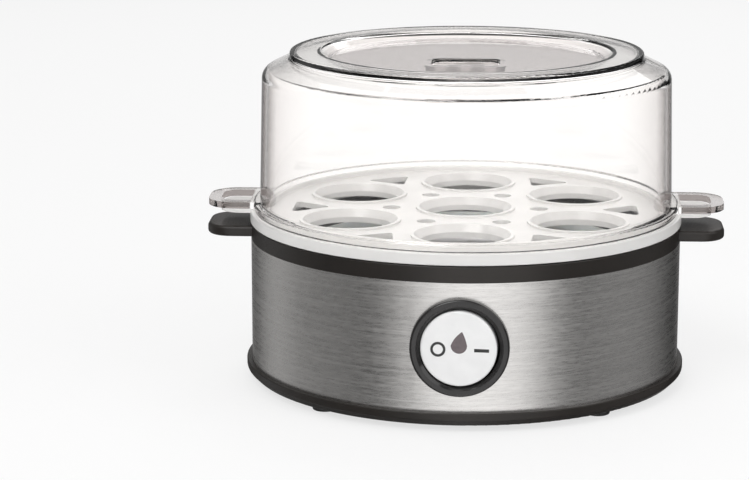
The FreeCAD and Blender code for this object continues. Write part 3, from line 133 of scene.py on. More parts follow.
class Finish(Wiring):
    # a Principled material with the patterns of this object's surfaces

    def __init__(self, name, colour, roughness, **sockets):
        self.mat = bpy.data.materials.new(name)
        self.mat.use_nodes = True
        self.mat.diffuse_color = (*colour, 1)
        super().__init__(self.mat.node_tree)
        self.shader = self.nodes["Principled BSDF"]
        self.colour = colour
        self.shader.inputs["Base Color"].default_value = (*colour, 1)
        self.shader.inputs["Roughness"].default_value = roughness
        for label, value in sockets.items():
            self.shader.inputs[label.replace("_", " ")].default_value = value
        self.coordinates = self.node("ShaderNodeTexCoord")
        self.place = self.coordinates.outputs["Object"]

    def roundTheAxis(self, along, across):
        # for a round wall: x is the way round from the front, y the height
        split = self.node("ShaderNodeSeparateXYZ")
        self.links.new(self.place, split.inputs[0])
        join = self.node("ShaderNodeCombineXYZ")
        self.links.new(self.maths("MULTIPLY", self.wayRound(split), along), join.inputs["X"])
        self.links.new(self.maths("MULTIPLY", split.outputs["Z"], across), join.inputs["Y"])
        return join.outputs[0]

    def fromTheAxis(self, along, across):
        # for a turned face: x is the way round, y the distance from the axis
        split = self.node("ShaderNodeSeparateXYZ")
        self.links.new(self.place, split.inputs[0])
        flat = self.node("ShaderNodeCombineXYZ")
        self.links.new(split.outputs["X"], flat.inputs["X"])
        self.links.new(split.outputs["Y"], flat.inputs["Y"])
        length = self.node("ShaderNodeVectorMath", operation="LENGTH")
        self.links.new(flat.outputs[0], length.inputs[0])
        join = self.node("ShaderNodeCombineXYZ")
        self.links.new(self.maths("MULTIPLY", self.wayRound(split), along), join.inputs["X"])
        self.links.new(self.maths("MULTIPLY", length.outputs["Value"], across), join.inputs["Y"])
        return join.outputs[0]

    def noise(self, vector=None, scale=1.0, detail=3.0, rough=0.5):
        made = self.node("ShaderNodeTexNoise")
        made.inputs["Scale"].default_value = scale
        made.inputs["Detail"].default_value = detail
        made.inputs["Roughness"].default_value = rough
        self.links.new(vector if vector is not None else self.place, made.inputs["Vector"])
        return made.outputs["Fac"]

    def mottle(self, value, darker, lighter, low=0.3, high=0.7):
        # the colour drifts between a darker and a lighter share of itself
        ramp = self.node("ShaderNodeValToRGB")
        ramp.color_ramp.elements[0].position = low
        ramp.color_ramp.elements[1].position = high
        for element, share in zip(ramp.color_ramp.elements, (darker, lighter)):
            element.color = (*[min(1.0, part * share) for part in self.colour], 1)
        self.links.new(value, ramp.inputs["Fac"])
        self.links.new(ramp.outputs["Color"], self.shader.inputs["Base Color"])
        return ramp

    def roughness(self, value, low, high):
        self.links.new(self.spread(value, low, high), self.shader.inputs["Roughness"])

    def bump(self, value, strength, depth):
        made = self.node("ShaderNodeBump")
        made.inputs["Strength"].default_value = strength
        made.inputs["Distance"].default_value = depth
        self.links.new(value, made.inputs["Height"])
        self.links.new(made.outputs["Normal"], self.shader.inputs["Normal"])


def wear(names, finish):
    for name in names:
        node = cadNodes[name]
        node.data.materials.clear()
        node.data.materials.append(finish.mat)


def grained(name, look, **sockets):
    # one grain drives the colour's tones, the gloss and the relief of a simple finish
    finish = Finish(name, look["colour"], look["rough"], **sockets)
    grain = finish.noise(scale=look["grain"], detail=look["detail"])
    if "tones" in look:
        finish.mottle(grain, *look["tones"])
    if "gloss" in look:
        finish.roughness(grain, *look["gloss"])
    if "relief" in look:
        finish.bump(grain, *look["relief"])
    return finish


# the steel band, brushed round the housing: long streaks and finer hairs
steel = {"colour": (0.66, 0.645, 0.63), "rough": 0.3, "anisotropic": 0.55,
         "streaks": (2.0, 900), "streakDetail": 4.0, "streakRough": 0.6, "streakShare": 0.45,
         "hairs": (18.0, 2200), "hairDetail": 3.0, "hairRough": 0.7, "hairShare": 0.55,
         "tones": (0.74, 1.1), "toneSpread": (0.34, 0.62), "gloss": (0.22, 0.36), "relief": (0.18, 0.00012)}
band = Finish("brushedBand", steel["colour"], steel["rough"], Metallic=1.0, Anisotropic=steel["anisotropic"])
streaks = band.noise(band.roundTheAxis(*steel["streaks"]),
                     detail=steel["streakDetail"], rough=steel["streakRough"])
hairs = band.noise(band.roundTheAxis(*steel["hairs"]), detail=steel["hairDetail"], rough=steel["hairRough"])
brushing = band.maths("ADD", band.maths("MULTIPLY", streaks, steel["streakShare"]),
                      band.maths("MULTIPLY", hairs, steel["hairShare"]))
band.mottle(brushing, *steel["tones"], *steel["toneSpread"])
band.roughness(brushing, *steel["gloss"])
band.bump(hairs, *steel["relief"])
wear(["outer_band"], band)

# satin black moulding, cloudy over a fine pebble
black = {"colour": (0.017, 0.014, 0.012), "rough": 0.36, "shine": 0.35,
         "pebble": 1500, "pebbleDetail": 2.0, "cloud": 40, "cloudDetail": 4.0,
         "tones": (0.8, 1.3), "gloss": (0.3, 0.44), "relief": (0.25, 0.00008)}
blackMoulding = Finish("blackMoulding", black["colour"], black["rough"], Specular_IOR_Level=black["shine"])
pebble = blackMoulding.noise(scale=black["pebble"], detail=black["pebbleDetail"])
blackMoulding.mottle(blackMoulding.noise(scale=black["cloud"], detail=black["cloudDetail"]), *black["tones"])
blackMoulding.roughness(pebble, *black["gloss"])
blackMoulding.bump(pebble, *black["relief"])
wear(["top_collar", "base_pan", "cord_clamp", "switch_housing"], blackMoulding)

glossBlack = {"colour": (0.012, 0.011, 0.011), "rough": 0.16, "grain": 220, "detail": 2.0,
              "tones": (0.8, 1.5), "gloss": (0.12, 0.22), "relief": (0.1, 0.00006)}
wear(["switch_bezel", "cord_gland"], grained("blackGloss", glossBlack))

rubber = {"colour": (0.03, 0.03, 0.03), "rough": 0.75, "grain": 900, "detail": 3.0,
          "tones": (0.7, 1.4), "relief": (0.3, 0.0001)}
wear(["rubber_feet"], grained("footRubber", rubber))

silicone = {"colour": (0.72, 0.71, 0.67), "rough": 0.5, "under": 0.15, "grain": 300, "detail": 3.0,
            "tones": (0.92, 1.04), "relief": (0.15, 0.0001)}
wear(["plate_gasket"], grained("gasketSilicone", silicone, Subsurface_Weight=silicone["under"]))

# the dish, turned on a lathe and clouded by scale from the water
dish = {"colour": (0.62, 0.62, 0.63), "rough": 0.32, "anisotropic": 0.4,
        "rings": (1.0, 1400), "ringDetail": 4.0, "ringRough": 0.6,
        "gloss": (0.22, 0.42), "relief": (0.12, 0.0001),
        "limescale": 55, "limescaleDetail": 6.0, "limescaleRough": 0.65, "tones": (0.82, 1.08)}
plate = Finish("spunPlate", dish["colour"], dish["rough"], Metallic=1.0, Anisotropic=dish["anisotropic"])
rings = plate.noise(plate.fromTheAxis(*dish["rings"]), detail=dish["ringDetail"], rough=dish["ringRough"])
limescale = plate.noise(scale=dish["limescale"], detail=dish["limescaleDetail"], rough=dish["limescaleRough"])
plate.mottle(limescale, *dish["tones"])
plate.roughness(rings, *dish["gloss"])
plate.bump(rings, *dish["relief"])
wear(["heating_plate"], plate)

sheath = {"colour": (0.5, 0.5, 0.51), "rough": 0.45, "grain": 160, "detail": 5.0,
          "tones": (0.7, 1.1), "gloss": (0.35, 0.6)}
wear(["heating_element", "thermal_fuse"], grained("elementSheath", sheath, Metallic=1.0))

zincPlate = {"colour": (0.6, 0.61, 0.6), "rough": 0.35, "grain": 420, "detail": 4.0,
             "tones": (0.78, 1.12), "gloss": (0.26, 0.46)}
zinc = grained("zincSteel", zincPlate, Metallic=1.0)
wear(["housing_screws", "plate_clips", "clip_screws", "element_terminals", "thermostat_bracket",
      "bracket_nuts", "fuse_clip", "clamp_screws", "plunger_spring"], zinc)

brass = {"colour": (0.74, 0.55, 0.26), "rough": 0.3, "grain": 260, "detail": 4.0,
         "tones": (0.75, 1.08), "gloss": (0.22, 0.45)}
wear(["earth_tag", "switch_terminals", "contact_lever", "terminal_screws"],
     grained("contactBrass", brass, Metallic=1.0))

phenolic = {"colour": (0.09, 0.045, 0.025), "rough": 0.5, "grain": 700, "detail": 3.0,
            "tones": (0.75, 1.3), "relief": (0.2, 0.00008)}
wear(["thermostat"], grained("thermostatPhenolic", phenolic))

nylon = {"colour": (0.78, 0.78, 0.76), "rough": 0.45, "under": 0.1, "grain": 240, "detail": 3.0,
         "tones": (0.94, 1.03), "relief": (0.1, 0.00008)}
wear(["terminal_block", "plunger"], grained("whiteNylon", nylon, Subsurface_Weight=nylon["under"]))

cap = {"colour": (0.83, 0.83, 0.83), "rough": 0.2, "coat": 0.2, "grain": 180, "detail": 2.0,
       "tones": (0.97, 1.02), "gloss": (0.16, 0.26), "relief": (0.05, 0.00005)}
wear(["rocker_cap"], grained("rockerWhite", cap, Coat_Weight=cap["coat"]))

lens = {"colour": (0.11, 0.085, 0.09), "rough": 0.18, "coat": 0.3, "grain": 400, "detail": 2.0,
        "tones": (0.85, 1.2), "gloss": (0.14, 0.24)}
wear(["indicator_lens"], grained("lensTint", lens, Coat_Weight=lens["coat"]))

bulb = {"colour": (0.95, 0.82, 0.76), "rough": 0.06, "clear": 0.9, "bend": 1.5, "grain": 300, "detail": 2.0,
        "gloss": (0.03, 0.12)}
wear(["indicator_lamp"], grained("lampGlass", bulb, Transmission_Weight=bulb["clear"], IOR=bulb["bend"]))

sleeves = {
    "brownSleeve": ((0.14, 0.07, 0.04), ["live_lead", "switched_lead"]),
    "whiteSleeve": ((0.75, 0.75, 0.72), ["fuse_lead", "element_lead"]),
    "blueSleeve": ((0.05, 0.14, 0.42), ["neutral_lead"]),
    "greenSleeve": ((0.16, 0.4, 0.09), ["earth_lead"]),
}
braid = {"rough": 0.55, "grain": 1100, "detail": 2.0, "tones": (0.8, 1.2), "relief": (0.2, 0.00008)}
for name, (colour, leadNodes) in sleeves.items():
    wear(leadNodes, grained(name, {**braid, "colour": colour}))

tray = {"colour": (0.93, 0.92, 0.905), "rough": 0.22, "clear": 0.25, "bend": 1.5, "grain": 60, "detail": 4.0,
        "tones": (0.97, 1.03), "gloss": (0.2, 0.26)}
wear(["egg_tray"], grained("trayMilky", tray, Transmission_Weight=tray["clear"], IOR=tray["bend"]))

# the lid: clear all over, with painted shade in its colour by the steepness of the view and by place (dark
# painted edges at grazing angles, a greyer painted top disc and loops, dark painted vent walls and bars),
# heights from its top down
clear = {"colour": (0.985, 0.968, 0.955), "rough": 0.02, "bend": 1.45, "steepBlend": 0.5,
         "draw": 26, "drawDetail": 2.0, "haze": 700, "hazeDetail": 3.0,
         "tones": (0.99, 1.01), "gloss": (0.01, 0.05), "relief": (0.05, 0.0004),
         "paintedRimShade": [(0.35, (0.985, 0.975, 0.965)), (0.7, (0.8, 0.77, 0.76)), (0.82, (0.22, 0.19, 0.18)),
                  (0.9, (0.05, 0.04, 0.04))],
         "flatFrom": 0.6, "rimTop": 0.112, "rimFade": 0.002, "rimAbove": 0.3,
         "discPaintedShade": (0.77, 0.73, 0.72), "discRadius": 0.0525, "discLow": 0.115,
         "loopFrom": 0.0795, "loopPaintedShade": (0.72, 0.69, 0.68), "loopWallPaintedShade": (0.3, 0.27, 0.26),
         "ventWallPaintedShade": (0.1, 0.09, 0.085), "barPaintedShade": (0.16, 0.14, 0.13),
         "bars": [(0.0026, 0.0061), (0.0113, 0.0148)]}
# boxes in which painted shade darkens the vent pocket's back wall and the bars of its front wall between the
# slots
ventBackWall = {"side": 0.0132, "back": -0.0028, "front": -0.0045, "low": 0.1177, "high": 0.1199}
ventFrontWall = {"side": 0.0148, "back": -0.0195, "front": -0.0226, "low": 0.1157, "high": 0.1179}

lidClear = Finish("lidClear", clear["colour"], clear["rough"], Transmission_Weight=1.0, IOR=clear["bend"])
draw = lidClear.noise(scale=clear["draw"], detail=clear["drawDetail"])
drawn = lidClear.mottle(draw, *clear["tones"])
lidClear.roughness(lidClear.noise(scale=clear["haze"], detail=clear["hazeDetail"]), *clear["gloss"])
lidClear.bump(draw, *clear["relief"])

spot = lidClear.node("ShaderNodeSeparateXYZ")
lidClear.links.new(lidClear.place, spot.inputs[0])
facing = lidClear.node("ShaderNodeSeparateXYZ")
lidClear.links.new(lidClear.coordinates.outputs["Normal"], facing.inputs[0])


def over(value, limit):
    return lidClear.maths("GREATER_THAN", value, limit)


def under(value, limit):
    return lidClear.maths("LESS_THAN", value, limit)


def allOf(*shares):
    # 1 where every share is 1
    whole = shares[0]
    for share in shares[1:]:
        whole = lidClear.maths("MULTIPLY", whole, share)
    return whole


upright = under(lidClear.maths("ABSOLUTE", facing.outputs["Z"]), clear["flatFrom"])
sideways = lidClear.maths("ABSOLUTE", spot.outputs["X"])
lengthways = lidClear.maths("ABSOLUTE", spot.outputs["Y"])
fromAxis = lidClear.maths("SQRT", lidClear.maths("ADD", lidClear.maths("POWER", sideways, 2.0),
                                                 lidClear.maths("POWER", lengthways, 2.0)))


def withinBox(box):
    return allOf(under(sideways, box["side"]), under(spot.outputs["Y"], box["back"]),
                 over(spot.outputs["Y"], box["front"]), over(spot.outputs["Z"], box["low"]),
                 under(spot.outputs["Z"], box["high"]))


# painted shade: the loops are greyed all over and darkened much more on their upright faces
onLoop = over(sideways, clear["loopFrom"])
# painted shade: the top disc is greyed
onDisc = allOf(under(fromAxis, clear["discRadius"]), over(spot.outputs["Z"], clear["discLow"]))
innerBar, outerBar = [allOf(over(sideways, start), under(sideways, end)) for start, end in clear["bars"]]
onBars = allOf(lidClear.maths("MAXIMUM", innerBar, outerBar), withinBox(ventFrontWall))
rimFade = lidClear.spread(spot.outputs["Z"], 1.0, clear["rimAbove"], clear["rimTop"],
                          clear["rimTop"] + clear["rimFade"])

# painted shade: on upright faces the colour darkens towards the edges seen at a grazing angle, less so above
# the rim's top
steepness = lidClear.node("ShaderNodeLayerWeight")
steepness.inputs["Blend"].default_value = clear["steepBlend"]
rim = lidClear.node("ShaderNodeValToRGB")
while len(rim.color_ramp.elements) < len(clear["paintedRimShade"]):
    rim.color_ramp.elements.new(0.5)
for element, (steep, tint) in zip(rim.color_ramp.elements, clear["paintedRimShade"]):
    element.position = steep
    element.color = (*tint, 1)
lidClear.links.new(steepness.outputs["Facing"], rim.inputs["Fac"])

# painted shade mixed into the lid's colour, one place after another
colourWithPaintedShade = drawn.outputs["Color"]
for share, tint in ((allOf(upright, rimFade), rim.outputs["Color"]), (onDisc, clear["discPaintedShade"]),
                    (onLoop, clear["loopPaintedShade"]), (onBars, clear["barPaintedShade"]),
                    (allOf(upright, onLoop), clear["loopWallPaintedShade"]),
                    (allOf(upright, withinBox(ventBackWall)), clear["ventWallPaintedShade"])):
    shadeMix = lidClear.node("ShaderNodeMix", data_type="RGBA")
    lidClear.links.new(share, shadeMix.inputs["Factor"])
    lidClear.links.new(colourWithPaintedShade, shadeMix.inputs["A"])
    if isinstance(tint, tuple):
        shadeMix.inputs["B"].default_value = (*tint, 1)
    else:
        lidClear.links.new(tint, shadeMix.inputs["B"])
    colourWithPaintedShade = shadeMix.outputs["Result"]
lidClear.links.new(colourWithPaintedShade, lidClear.shader.inputs["Base Color"])
wear(["lid"], lidClear)
cadNodes["lid"].visible_shadow = False      # a clear lid doesn't darken the tray
print("finishes made")


# the rocker's place and lean at rest, and the ring and the dash printed on it
rocker = {
    "faceY": -0.0826, "pivotY": -0.078, "height": 0.0305, "lean": -5.0,
    "offX": -0.0071, "offZ": -0.0003, "offRadius": 0.0022, "offLine": 0.00045, "offSides": 64,
    "onX": 0.0081, "onZ": -0.0003, "onLength": 0.0052, "onHeight": 0.0012,
    "proud": 0.00005, "sunk": 0.0002,
}
inkLook = {"colour": (0.02, 0.02, 0.02), "rough": 0.4, "grain": 900, "detail": 2.0,
           "tones": (0.8, 1.4), "gloss": (0.35, 0.5)}
ink = grained("rockerInk", inkLook)


def onRocker(piece, finish):
    # made upright at the neutral face, then leaned as the rocker rests
    settle(piece)
    pivot = mathutils.Vector((0, rocker["pivotY"], 0))
    lean = mathutils.Matrix.Rotation(math.radians(rocker["lean"]), 4, "Z")
    piece.matrix_world = mathutils.Matrix.Translation(pivot) @ lean @ mathutils.Matrix.Translation(-pivot)
    settle(piece)
    piece.data.materials.append(finish.mat)
    softShade(piece)
    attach(piece, "rocker")


thick = rocker["proud"] + rocker["sunk"]
middleY = rocker["faceY"] - rocker["proud"] + thick / 2

deselectAll()
bpy.ops.mesh.primitive_cylinder_add(vertices=rocker["offSides"], depth=thick,
                                    radius=rocker["offRadius"] + rocker["offLine"],
                                    location=(rocker["offX"], middleY, rocker["height"] + rocker["offZ"]),
                                    rotation=(math.radians(90), 0, 0))
offMark = named("rockerOffMark")
selectFaces(offMark, lambda face: len(face.vertices) > 4)
bpy.ops.mesh.inset(thickness=2 * rocker["offLine"], use_individual=True)
bpy.ops.mesh.bridge_edge_loops()
leaveEdit()
onRocker(offMark, ink)

deselectAll()
bpy.ops.mesh.primitive_cube_add(size=1, location=(rocker["onX"], middleY, rocker["height"] + rocker["onZ"]))
onMark = named("rockerOnMark")
onMark.scale = (rocker["onLength"], thick, rocker["onHeight"])
settle(onMark)
rounding = onMark.modifiers.new("rounding", "BEVEL")
rounding.width = rocker["proud"]
rounding.segments = 2
applyAll(onMark)
onRocker(onMark, ink)
print("rocker marks made")


def closeEnds(piece):
    # faces over the open rings, then every face turned outwards
    pickOnly(piece)
    bpy.ops.object.mode_set(mode="EDIT")
    bpy.ops.mesh.select_mode(type="EDGE")
    bpy.ops.mesh.select_all(action="DESELECT")
    bpy.ops.mesh.select_non_manifold()
    bpy.ops.mesh.fill_holes(sides=0)
    bpy.ops.mesh.select_all(action="SELECT")
    bpy.ops.mesh.normals_make_consistent(inside=False)
    leaveEdit()


# the coil in the plunger's bore, wound on its own axis and then laid along the rocker's
spring = {"wire": 0.00023, "wireSides": 12, "outside": 0.0019, "turns": 5, "stepsPerTurn": 32,
          "length": 0.0036, "frontY": -0.0786}
deselectAll()
bpy.ops.mesh.primitive_circle_add(vertices=spring["wireSides"], radius=spring["wire"], fill_type="NOTHING",
                                  location=(spring["outside"] - spring["wire"], 0, 0),
                                  rotation=(math.radians(90), 0, 0))
plungerSpring = named("plungerSpring")
settle(plungerSpring)
winding = plungerSpring.modifiers.new("winding", "SCREW")
winding.axis = "Z"
winding.angle = 2 * math.pi
winding.screw_offset = (spring["length"] - 2 * spring["wire"]) / spring["turns"]
winding.iterations = spring["turns"]
winding.steps = spring["stepsPerTurn"]
winding.render_steps = spring["stepsPerTurn"]
applyAll(plungerSpring)
closeEnds(plungerSpring)
plungerSpring.rotation_euler = (math.radians(-90), 0, 0)
plungerSpring.location = (0, spring["frontY"] + spring["wire"], rocker["height"])
onRocker(plungerSpring, zinc)
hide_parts("plunger_spring")
print("plunger spring wound")


# what all the screws share; the blades cut the cross recess and are shares of the head
screwForm = {"shankSides": 28, "tipShare": 0.3, "headSides": 40, "headRound": 0.55, "headRoundSteps": 5,
             "bladeLong": 1.1, "bladeWide": 0.24, "bladeDeep": 1.2, "bladeTaper": 0.45, "smoothAngle": 40}


def makeThread(name, sizes):
    # one ring of the thread is shaped and repeated up from the seat at height 0, then closed with a tip
    rootRadius = sizes["shank"] - sizes["cut"]
    rings = int((sizes["length"] - sizes["tip"] + sizes["sunk"]) / sizes["pitch"])
    deselectAll()
    bpy.ops.mesh.primitive_cylinder_add(vertices=screwForm["shankSides"], radius=rootRadius,
                                        depth=sizes["pitch"],
                                        location=(0, 0, sizes["pitch"] / 2 - sizes["sunk"]))
    shank = named(name)
    settle(shank)
    ridge = sizes["pitch"] / 2 - sizes["sunk"]
    selectFaces(shank, lambda face: True)
    bpy.ops.mesh.bisect(plane_co=(0, 0, ridge), plane_no=(0, 0, 1))
    swell = sizes["shank"] / rootRadius
    bpy.ops.transform.resize(value=(swell, swell, 1), center_override=(0, 0, ridge))
    selectFaces(shank, lambda face: abs(face.normal.z) > 0.9)
    bpy.ops.mesh.delete(type="FACE")
    leaveEdit()
    thread = shank.modifiers.new("thread", "ARRAY")
    thread.use_relative_offset = False
    thread.use_constant_offset = True
    thread.constant_offset_displace = (0, 0, sizes["pitch"])
    thread.count = rings
    thread.use_merge_vertices = True
    thread.merge_threshold = sizes["cut"] / 20
    applyAll(shank)
    closeEnds(shank)
    top = rings * sizes["pitch"] - sizes["sunk"]
    selectFaces(shank, lambda face: face.normal.z > 0.9 and face.center.z > top - sizes["cut"])
    bpy.ops.mesh.extrude_region_move(TRANSFORM_OT_translate={"value": (0, 0, sizes["length"] - top)})
    bpy.ops.transform.resize(value=(screwForm["tipShare"], screwForm["tipShare"], 1),
                             center_override=(0, 0, sizes["length"]))
    leaveEdit()
    return shank


def makeHead(name, sizes):
    # a rounded pan head that hangs from the seat at height 0, with a cross recess
    deselectAll()
    bpy.ops.mesh.primitive_cylinder_add(vertices=screwForm["headSides"], radius=sizes["head"],
                                        depth=sizes["tall"], location=(0, 0, -sizes["tall"] / 2))
    head = named(name)
    settle(head)
    selectFaces(head, lambda face: face.normal.z < -0.9)
    bpy.ops.mesh.bevel(offset=sizes["tall"] * screwForm["headRound"], segments=screwForm["headRoundSteps"],
                       affect="EDGES")
    leaveEdit()
    for turn in (0, 90):
        deselectAll()
        bpy.ops.mesh.primitive_cube_add(size=1, location=(0, 0, -sizes["tall"]))
        blade = named(name + "Blade")
        blade.scale = (sizes["head"] * screwForm["bladeLong"], sizes["head"] * screwForm["bladeWide"],
                       sizes["tall"] * screwForm["bladeDeep"])
        blade.rotation_euler = (0, 0, math.radians(turn))
        settle(blade)
        selectFaces(blade, lambda face: face.normal.z > 0.9)
        bpy.ops.transform.resize(value=(screwForm["bladeTaper"], screwForm["bladeTaper"], 1),
                                 center_override=(0, 0, -sizes["tall"]))
        leaveEdit()
        recess = head.modifiers.new("recess", "BOOLEAN")
        recess.operation = "DIFFERENCE"
        recess.solver = "EXACT"
        recess.object = blade
        applyAll(head)
        bpy.data.objects.remove(blade)
    return head


def placeScrews(name, node, sizes):
    # the first screw is modelled and copied to the other places
    thread = makeThread(name + "Thread", sizes)
    first = makeHead(name + "1", sizes)
    pickOnly(first)
    thread.select_set(True)
    bpy.ops.object.join()
    softShade(first, screwForm["smoothAngle"])
    first.data.materials.clear()
    first.data.materials.append(zinc.mat)
    screws = [first]
    for index in range(1, len(sizes["places"])):
        pickOnly(first)
        bpy.ops.object.duplicate(linked=False)
        screws.append(named(f"{name}{index + 1}"))
    for piece, (x, y) in zip(screws, sizes["places"]):
        piece.location = (x, y, sizes["seat"])
        piece.rotation_euler = (0 if sizes["up"] else math.pi, 0, 0)
        settle(piece)
        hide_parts(node)
        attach(piece, "base")


def fourCorners(x, y):
    return [(x, y), (-x, y), (-x, -y), (x, -y)]


# head and shank are radii, seat is the height that the head bears on, up is the way the tip points
housingScrews = {"head": 0.0029, "tall": 0.0020, "shank": 0.0015, "length": 0.0130,
                 "pitch": 0.0010, "cut": 0.0003, "tip": 0.0010, "sunk": 0.0004,
                 "seat": 0.0080, "up": True, "places": fourCorners(0.06803, 0.02476)}
clipScrews = {"head": 0.0025, "tall": 0.0017, "shank": 0.0012, "length": 0.0057,
              "pitch": 0.0008, "cut": 0.00024, "tip": 0.0008, "sunk": 0.0003,
              "seat": 0.0394, "up": True, "places": fourCorners(0.05134, 0.05134)}
clampScrews = {"head": 0.0024, "tall": 0.0017, "shank": 0.0012, "length": 0.0088,
               "pitch": 0.0008, "cut": 0.00024, "tip": 0.0008, "sunk": 0.0003,
               "seat": 0.0245, "up": False, "places": [(0.0085, 0.062), (-0.0085, 0.062)]}
placeScrews("housingScrew", "housing_screws", housingScrews)
placeScrews("clipScrew", "clip_screws", clipScrews)
placeScrews("clampScrew", "clamp_screws", clampScrews)
print("screws threaded")


# the room: what the clear and shiny pieces show of it, in levels by degrees round from the front
studio = {
    "floorSize": 6.0, "floorColour": (0.9, 0.9, 0.9), "floorRough": 0.9, "floorShine": 0.1, "floorGlow": 0.7,
    "sky": 0.5, "seenSky": 1.0, "throughGlow": 1.15, "horizonBlend": 0.04,
    "mirroredSky": [
        (-180, 0.3), (-150, 0.1), (-125, 0.4), (-110, 0.5), (-97, 0.3), (-75, 0.24), (-60, 0.15),
        (-38, 0.2), (-26, 0.6), (-14, 1.25), (20, 1.25), (34, 0.9), (48, 0.4), (66, 0.2), (90, 0.24),
        (112, 0.2), (126, 0.12), (150, 0.1), (180, 0.3)],
    "mirroredFloor": [
        (-180, 0.8), (-165, 0.3), (-150, 0.0), (-135, 0.25), (-122, 0.52), (-110, 0.48), (-99, 0.3),
        (-80, 0.26), (-63, 0.22), (-55, 0.16), (-47, 0.08), (-40, 0.16), (-33, 0.42), (-26, 0.72),
        (-14, 1.35), (20, 1.35), (34, 1.15), (41, 0.7), (49, 0.3), (56, 0.12), (64, 0.14), (72, 0.26),
        (90, 0.31), (112, 0.27), (126, 0.15), (143, 0.02), (155, 0.0), (165, 0.3), (180, 0.8)],
    "throughSky": [
        (-180, 1.0), (-113, 1.0), (-90, 0.45), (-50, 0.4), (50, 0.4), (90, 0.45), (113, 1.0), (180, 1.0)],
    "throughFloor": [
        (-180, 1.0), (-113, 1.0), (-90, 0.8), (-50, 0.75), (50, 0.75), (90, 0.8), (113, 1.0), (180, 1.0)],
}


def makeFloor():
    deselectAll()
    bpy.ops.mesh.primitive_plane_add(size=studio["floorSize"], location=(0, 0, 0))
    floor = named("studioFloor")
    floorMat = bpy.data.materials.new("paleFloor")
    floorMat.use_nodes = True
    wiring = Wiring(floorMat.node_tree)
    shader = wiring.nodes["Principled BSDF"]
    shader.inputs["Base Color"].default_value = (*studio["floorColour"], 1)
    shader.inputs["Roughness"].default_value = studio["floorRough"]
    shader.inputs["Specular IOR Level"].default_value = studio["floorShine"]
    rays = wiring.node("ShaderNodeLightPath")
    white = wiring.node("ShaderNodeEmission")
    whiten = wiring.node("ShaderNodeMixShader")
    glow = wiring.maths("MULTIPLY", rays.outputs["Is Camera Ray"], studio["floorGlow"])
    wiring.links.new(glow, whiten.inputs["Fac"])
    wiring.links.new(shader.outputs["BSDF"], whiten.inputs[1])
    wiring.links.new(white.outputs["Emission"], whiten.inputs[2])
    wiring.links.new(whiten.outputs["Shader"], wiring.nodes["Material Output"].inputs["Surface"])
    floor.data.materials.append(floorMat)
    floor.visible_glossy = False
    floor.visible_transmission = False


def roomGlow(wiring, direction, levels):
    # how bright the room is in a direction, from its levels
    split = wiring.node("ShaderNodeSeparateXYZ")
    wiring.links.new(direction, split.inputs[0])
    ramp = wiring.node("ShaderNodeValToRGB")
    elements = ramp.color_ramp.elements
    while len(elements) < len(levels):
        elements.new(0.5)
    for element, (degrees, level) in zip(elements, levels):
        element.position = 0.5 + degrees / 360
        element.color = (level, level, level, 1)
    turn = wiring.spread(wiring.wayRound(split), 0.0, 1.0, -math.pi, math.pi)
    wiring.links.new(turn, ramp.inputs["Fac"])
    return ramp.outputs["Color"]


def roomAllRound(wiring, direction, floorLevels, skyLevels):
    # the floor's side of the room under the horizon, the sky's side above it
    height = wiring.node("ShaderNodeSeparateXYZ")
    wiring.links.new(direction, height.inputs[0])
    above = wiring.spread(height.outputs["Z"], 0.0, 1.0, -studio["horizonBlend"], studio["horizonBlend"])
    both = wiring.node("ShaderNodeMix", data_type="RGBA")
    wiring.links.new(above, both.inputs["Factor"])
    wiring.links.new(roomGlow(wiring, direction, floorLevels), both.inputs["A"])
    wiring.links.new(roomGlow(wiring, direction, skyLevels), both.inputs["B"])
    return both.outputs["Result"]


def background(wiring, strength, colour=None):
    made = wiring.node("ShaderNodeBackground")
    made.inputs["Color"].default_value = (1, 1, 1, 1)
    made.inputs["Strength"].default_value = strength
    if colour is not None:
        wiring.links.new(colour, made.inputs["Color"])
    return made


def without(wiring, value, *others):
    # a light path value less the others, never under 0
    for other in others:
        value = wiring.maths("SUBTRACT", value, other, clamp=True)
    return value


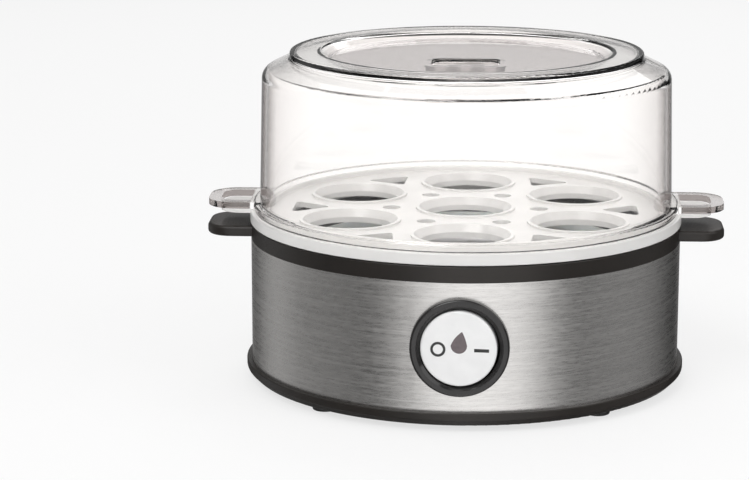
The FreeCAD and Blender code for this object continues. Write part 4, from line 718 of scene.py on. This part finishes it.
def makeWorld():
    # the sky lights the object, and other skies are what is seen, seen through and seen mirrored
    world = bpy.data.worlds.new("studioWorld")
    bpy.context.scene.world = world
    world.use_nodes = True
    wiring = Wiring(world.node_tree)
    sky = wiring.nodes["Background"]
    sky.inputs["Color"].default_value = (1, 1, 1, 1)
    sky.inputs["Strength"].default_value = studio["sky"]
    direction = wiring.node("ShaderNodeTexCoord").outputs["Generated"]
    rays = wiring.node("ShaderNodeLightPath").outputs
    through = roomAllRound(wiring, direction, studio["throughFloor"], studio["throughSky"])
    mirrored = roomAllRound(wiring, direction, studio["mirroredFloor"], studio["mirroredSky"])
    throughShare = without(wiring, rays["Is Transmission Ray"], rays["Diffuse Depth"])
    mirrorShare = without(wiring, rays["Is Glossy Ray"], rays["Is Transmission Ray"], rays["Diffuse Depth"])
    mixed = sky.outputs[0]
    for share, seen in ((rays["Is Camera Ray"], background(wiring, studio["seenSky"])),
                        (throughShare, background(wiring, studio["throughGlow"], through)),
                        (mirrorShare, background(wiring, 1.0, mirrored))):
        mixer = wiring.node("ShaderNodeMixShader")
        wiring.links.new(share, mixer.inputs["Fac"])
        wiring.links.new(mixed, mixer.inputs[1])
        wiring.links.new(seen.outputs[0], mixer.inputs[2])
        mixed = mixer.outputs[0]
    wiring.links.new(mixed, wiring.nodes["World Output"].inputs["Surface"])


makeFloor()
makeWorld()

lamps = {
    "keyLamp": {"place": (-0.5, -0.9, 1.1), "size": 0.8, "power": 9.0},
    "fillLamp": {"place": (0.9, -0.5, 0.7), "size": 0.9, "power": 4.0},
    "rimLamp": {"place": (0.1, 1.0, 1.0), "size": 0.9, "power": 4.0},
}
lampAim = mathutils.Vector((0, 0, 0.05))
for name, lamp in lamps.items():
    deselectAll()
    bpy.ops.object.light_add(type="AREA", location=lamp["place"])
    light = bpy.context.object
    light.name = name
    light.data.size = lamp["size"]
    light.data.energy = lamp["power"]
    aim = lampAim - mathutils.Vector(lamp["place"])
    light.rotation_euler = aim.to_track_quat("-Z", "Y").to_euler()

# the photograph's view: metres, radians and millimetres of lens
shot = {"distance": 0.943091, "height": 0.261459, "round": 0.020, "turn": 0.036, "down": 0.220,
        "lens": 123.84, "sensor": 36, "near": 0.01}
cameraData = bpy.data.cameras.new("photoCamera")
camera = bpy.data.objects.new("photoCamera", cameraData)
bpy.context.scene.collection.objects.link(camera)
cameraData.sensor_width = shot["sensor"]
cameraData.sensor_fit = "HORIZONTAL"
cameraData.lens = shot["lens"]
cameraData.clip_start = shot["near"]
camera.location = (shot["distance"] * math.sin(shot["round"]), -shot["distance"] * math.cos(shot["round"]),
                   shot["height"])
camera.rotation_euler = (math.pi / 2 - shot["down"], 0, shot["round"] + shot["turn"])
bpy.context.scene.camera = camera
bpy.context.scene.view_settings.view_transform = "Standard"
print("studio and camera placed")
